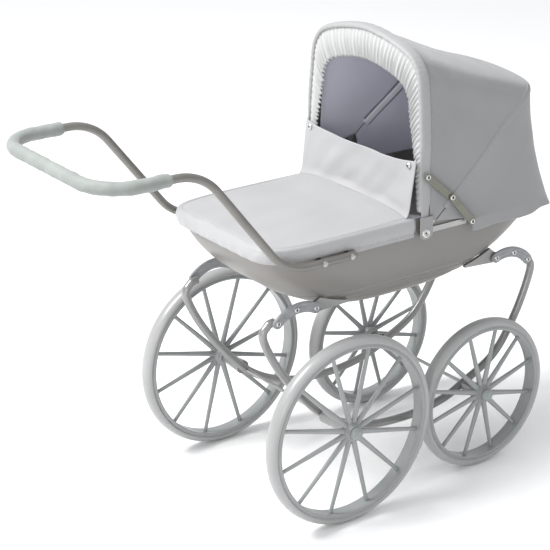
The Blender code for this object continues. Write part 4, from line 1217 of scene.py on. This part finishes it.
def bar(name, a, b, inner_y, side):
    """A flat bar with round ends between two places (x, z)."""
    a, b = Vector(a), Vector(b)
    length = (b - a).length
    way_x = (b - a).normalized()
    way_z = Vector((-way_x.y, way_x.x))
    heart_y = inner_y + side * STAY_THICK / 2

    def place(u, v):
        way = way_along(v, length, STAY_HALF)
        turn = ROUND_TURN * u
        across = kept(1.2 * math.cos(turn), -1.0) * rounded_half(way, length, STAY_HALF)
        spot = a + way_x * way + way_z * across
        face = kept(1.5 * math.sin(turn), -1.0)
        return Vector((spot.x, heart_y + STAY_THICK / 2 * face, spot.y))

    return laid(name, 32, 40, place, closed=True, angle=40)


def stay_rivet(name, spot, outer_y, side, body, *nodes):
    head = put(hollow, name, seat((spot[0], outer_y, spot[1]), side))
    finished(head, rivet_look, body, "snap_metal", *nodes)


for hand, side in SIDES:
    low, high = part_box(f"strut_front_link_{hand}")
    elbow = (high[0] - STAY_HALF, low[2] + STAY_HALF)
    for link, rivet, end in (("upper", "bow", "front"), ("lower", "rim", "rear")):
        node = f"strut_{end}_link_{hand}"
        body = f"strut_{end}_{hand}"
        inner_y = inner_face(node, side)
        outer_y = inner_y + side * 0.0015
        hole = middle_of(f"strut_{rivet}_rivet_{hand}")
        stay = bar(f"{link}_stay_{hand}", (hole.x, hole.z), elbow, inner_y, side)
        finished(stay, olive_look, body, "strut_steel", node)
        if link == "upper":
            stay_rivet(f"stay_top_rivet_{hand}", (hole.x, hole.z), outer_y, side, "front_bow",
                       f"strut_bow_rivet_{hand}")
        else:
            stay_rivet(f"stay_rim_rivet_{hand}", (hole.x, hole.z), outer_y, side, "chassis",
                       f"strut_rim_rivet_{hand}")
            stay_rivet(f"stay_elbow_rivet_{hand}", elbow, outer_y, side, body)
dropped(hollow)

# ---- apron
# A fitted cover of near-white twill lies over the foot half. It has a piped edge, a soft skirt
# outside the rim, and a narrow gathered strip below the skirt in front of the handle's feet.

apron_look = twilled("near_white_twill", (0.31, 0.31, 0.315), (0.41, 0.41, 0.415), 0.5)
skirt_look = twilled("gathered_strip_cloth", (0.28, 0.28, 0.285), (0.38, 0.38, 0.385), 0.6)
APRON_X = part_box("apron_cover")[1][0]
APRON_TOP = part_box("apron_cover")[1][2]
APRON_END = APRON_X + 0.009
SKIRT_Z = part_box("apron_cover")[0][2]
APRON_OUT = extent_of("apron_cover").y / 2 - TUB_B
APRON_IN = 0.006
APRON_THICK = 0.0012
SKIRT_SHARE = 0.30
SKIRT_FLAT = 0.4
ROUND_OVER = 0.0045
PIPING = 0.0010


def foot_outline(out, count=200):
    """Round the foot end at the rim, from the front edge on the left to the one on the right."""
    path = [Vector((APRON_END, TUB_B + out, 0))]
    for i in range(481):
        turn = math.pi * (0.5 + i / 480)
        x = -(TUB_A + out) * abs(math.cos(turn)) ** SHARP
        y = (TUB_B + out) * sharpened(math.sin(turn), SHARP)
        if TUB_X + x < APRON_END - 0.001:
            path.append(Vector((TUB_X + x, y, 0)))
    path.append(Vector((APRON_END, -TUB_B - out, 0)))
    return walked(path, reach_of(path) / count)


rim_out = foot_outline(APRON_OUT)
rim_in = foot_outline(-APRON_IN)


def off_rim(u, out):
    """A place at the rim, standing out from it."""
    return on_line(rim_out, u).lerp(on_line(rim_in, u), (APRON_OUT - out) / (APRON_OUT + APRON_IN))


def apron_point(u, v):
    if v < SKIRT_SHARE:
        down = 1 - v / SKIRT_SHARE
        soft = 0.0012 * noise.noise(Vector((u * 60, down * 2, 1))) * down
        if down > SKIRT_FLAT:
            low = (down - SKIRT_FLAT) / (1 - SKIRT_FLAT)
            p = off_rim(u, APRON_OUT + 0.0014 * math.sin(math.pi * low) + soft)
            top = APRON_TOP - ROUND_OVER
            return Vector((min(p.x, APRON_END), p.y, top + (SKIRT_Z - top) * low))
        turn = math.pi / 2 * (1 - down / SKIRT_FLAT)
        p = off_rim(u, APRON_OUT - ROUND_OVER * (1 - math.cos(turn)) + soft)
        return Vector((min(p.x, APRON_END), p.y, APRON_TOP - ROUND_OVER * (1 - math.sin(turn))))
    w = (v - SKIRT_SHARE) / (1 - SKIRT_SHARE)
    start = off_rim(u, APRON_OUT - ROUND_OVER)
    rim = on_line(rim_in, u)
    chord = Vector((APRON_END, (TUB_B - APRON_IN) * (1 - 2 * u), 0))
    p = start.lerp(rim, w / 0.06) if w < 0.06 else rim.lerp(chord, (w - 0.06) / 0.94)
    p.x = min(p.x, APRON_END)
    middle = max(0.0, 1 - (p.y / TUB_B) ** 4)
    rise = 0.0085 * hump(APRON_X - p.x, 0.040) * middle
    pull = noise.noise(Vector((p.x * 9 + p.y * 10, p.y * 26 - p.x * 8, 2.0)))
    lift = (0.0012 + 0.0017 * pull) * middle + rise
    return Vector((p.x, p.y, APRON_TOP + lift - 0.0014 * hump(w - 0.03, 0.018)))


apron = laid("fitted_apron", 200, 70, apron_point, (reach_of(rim_out), 0.16))
faced(apron, lambda face: Vector((0, 0, 1)))
thickened(apron, APRON_THICK)
finished(apron, apron_look, "chassis", "apron_fabric", "apron_cover")
piping_line = [Vector((p.x, p.y, APRON_TOP - 0.0008)) for p in foot_outline(APRON_OUT - 0.0066)]
piping = tube("apron_piping", piping_line, PIPING, 3)
finished(piping, apron_look, "chassis", "apron_fabric")

STRIP_LENGTH = 0.107
STRIP_WIDTH = 0.0085
STRIP_THICK = 0.0007


def strip_point(u, v, side):
    wave = 0.0006 * math.sin(u * 120 + 2 * math.sin(u * 17)) * (0.4 + 0.6 * v)
    return Vector((APRON_END - 0.001 - STRIP_LENGTH * u,
                   side * (TUB_B + APRON_OUT - 0.0006 - 0.0006 * v + wave),
                   SKIRT_Z + 0.0012 - STRIP_WIDTH * v))


strips = []
for hand, side in SIDES:
    strip = laid(f"gathered_strip_{hand}", 160, 8, lambda u, v: strip_point(u, v, side),
                 (0.12, STRIP_WIDTH))
    faced(strip, lambda face: Vector((0, side, 0)))
    thickened(strip, STRIP_THICK)
    strips.append(finished(strip, skirt_look, "chassis", "apron_fabric"))
[piping] + strips

# ---- wind flap
# The apron's front edge rises as a soft flap with a sagging top. A snap at each pointed corner
# holds it to the front bow.

FLAP_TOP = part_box("apron_flap")[1][2]
FLAP_WIDTH = extent_of("apron_flap").y + 0.011
SAG = 0.0075
HANG = 0.0032
FLAP_LEAN = math.tan(math.radians(7))


def flap_point(u, v):
    side = 2 * u - 1
    sag = SAG * (1 - side ** 4) - 0.0015 * (abs(side) > 0.97)
    foot = APRON_TOP + 0.0092 * (1 - side ** 4)
    tall = FLAP_TOP - foot - sag * 0.95
    z = foot + tall * v
    wide = FLAP_WIDTH / 2 * (1 - 0.012 * (1 - v)) * side
    slant = Vector((side * 4.0 + v * 1.6, v * 1.5 - side * 1.2, 5.0))
    hang = HANG * noise.noise(slant) + 0.0012 * math.sin(side * 9 + v * 3)
    heavy = min(v / 0.16, 1.0)
    curl = 0.0040 * (1 - heavy) ** 2
    x = APRON_X - 0.0002 + FLAP_LEAN * tall * v - curl + hang * heavy * (1 - abs(side) ** 6)
    return Vector((x, wide, z))


flap = laid("wind_flap", 120, 40, flap_point, (FLAP_WIDTH, 0.08))
faced(flap, lambda face: Vector((-1, 0, 0)))
thickened(flap, APRON_THICK)
finished(flap, apron_look, None, "apron_fabric", "apron_flap")
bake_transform(flap)

SNAP_OUTLINE = [(0, 0.0024), (0.0018, 0.0023), (0.0024, 0.0014), (0.0036, 0.0013), (0.0044, 0.0006),
                (0.0044, 0.0), (0, 0.0)]
snap = turned("snap", SNAP_OUTLINE, 28, 30)
facing_foot = Matrix.Rotation(math.radians(90), 4, "Z")
for hand, _ in SIDES:
    spot = middle_of(f"flap_snap_{hand}") + Vector((0.0010, 0, 0))
    place = Matrix.Translation(spot) @ facing_foot
    finished(put(snap, f"corner_snap_{hand}", place), rivet_look, "flap", "snap_metal", f"flap_snap_{hand}")
dropped(snap)
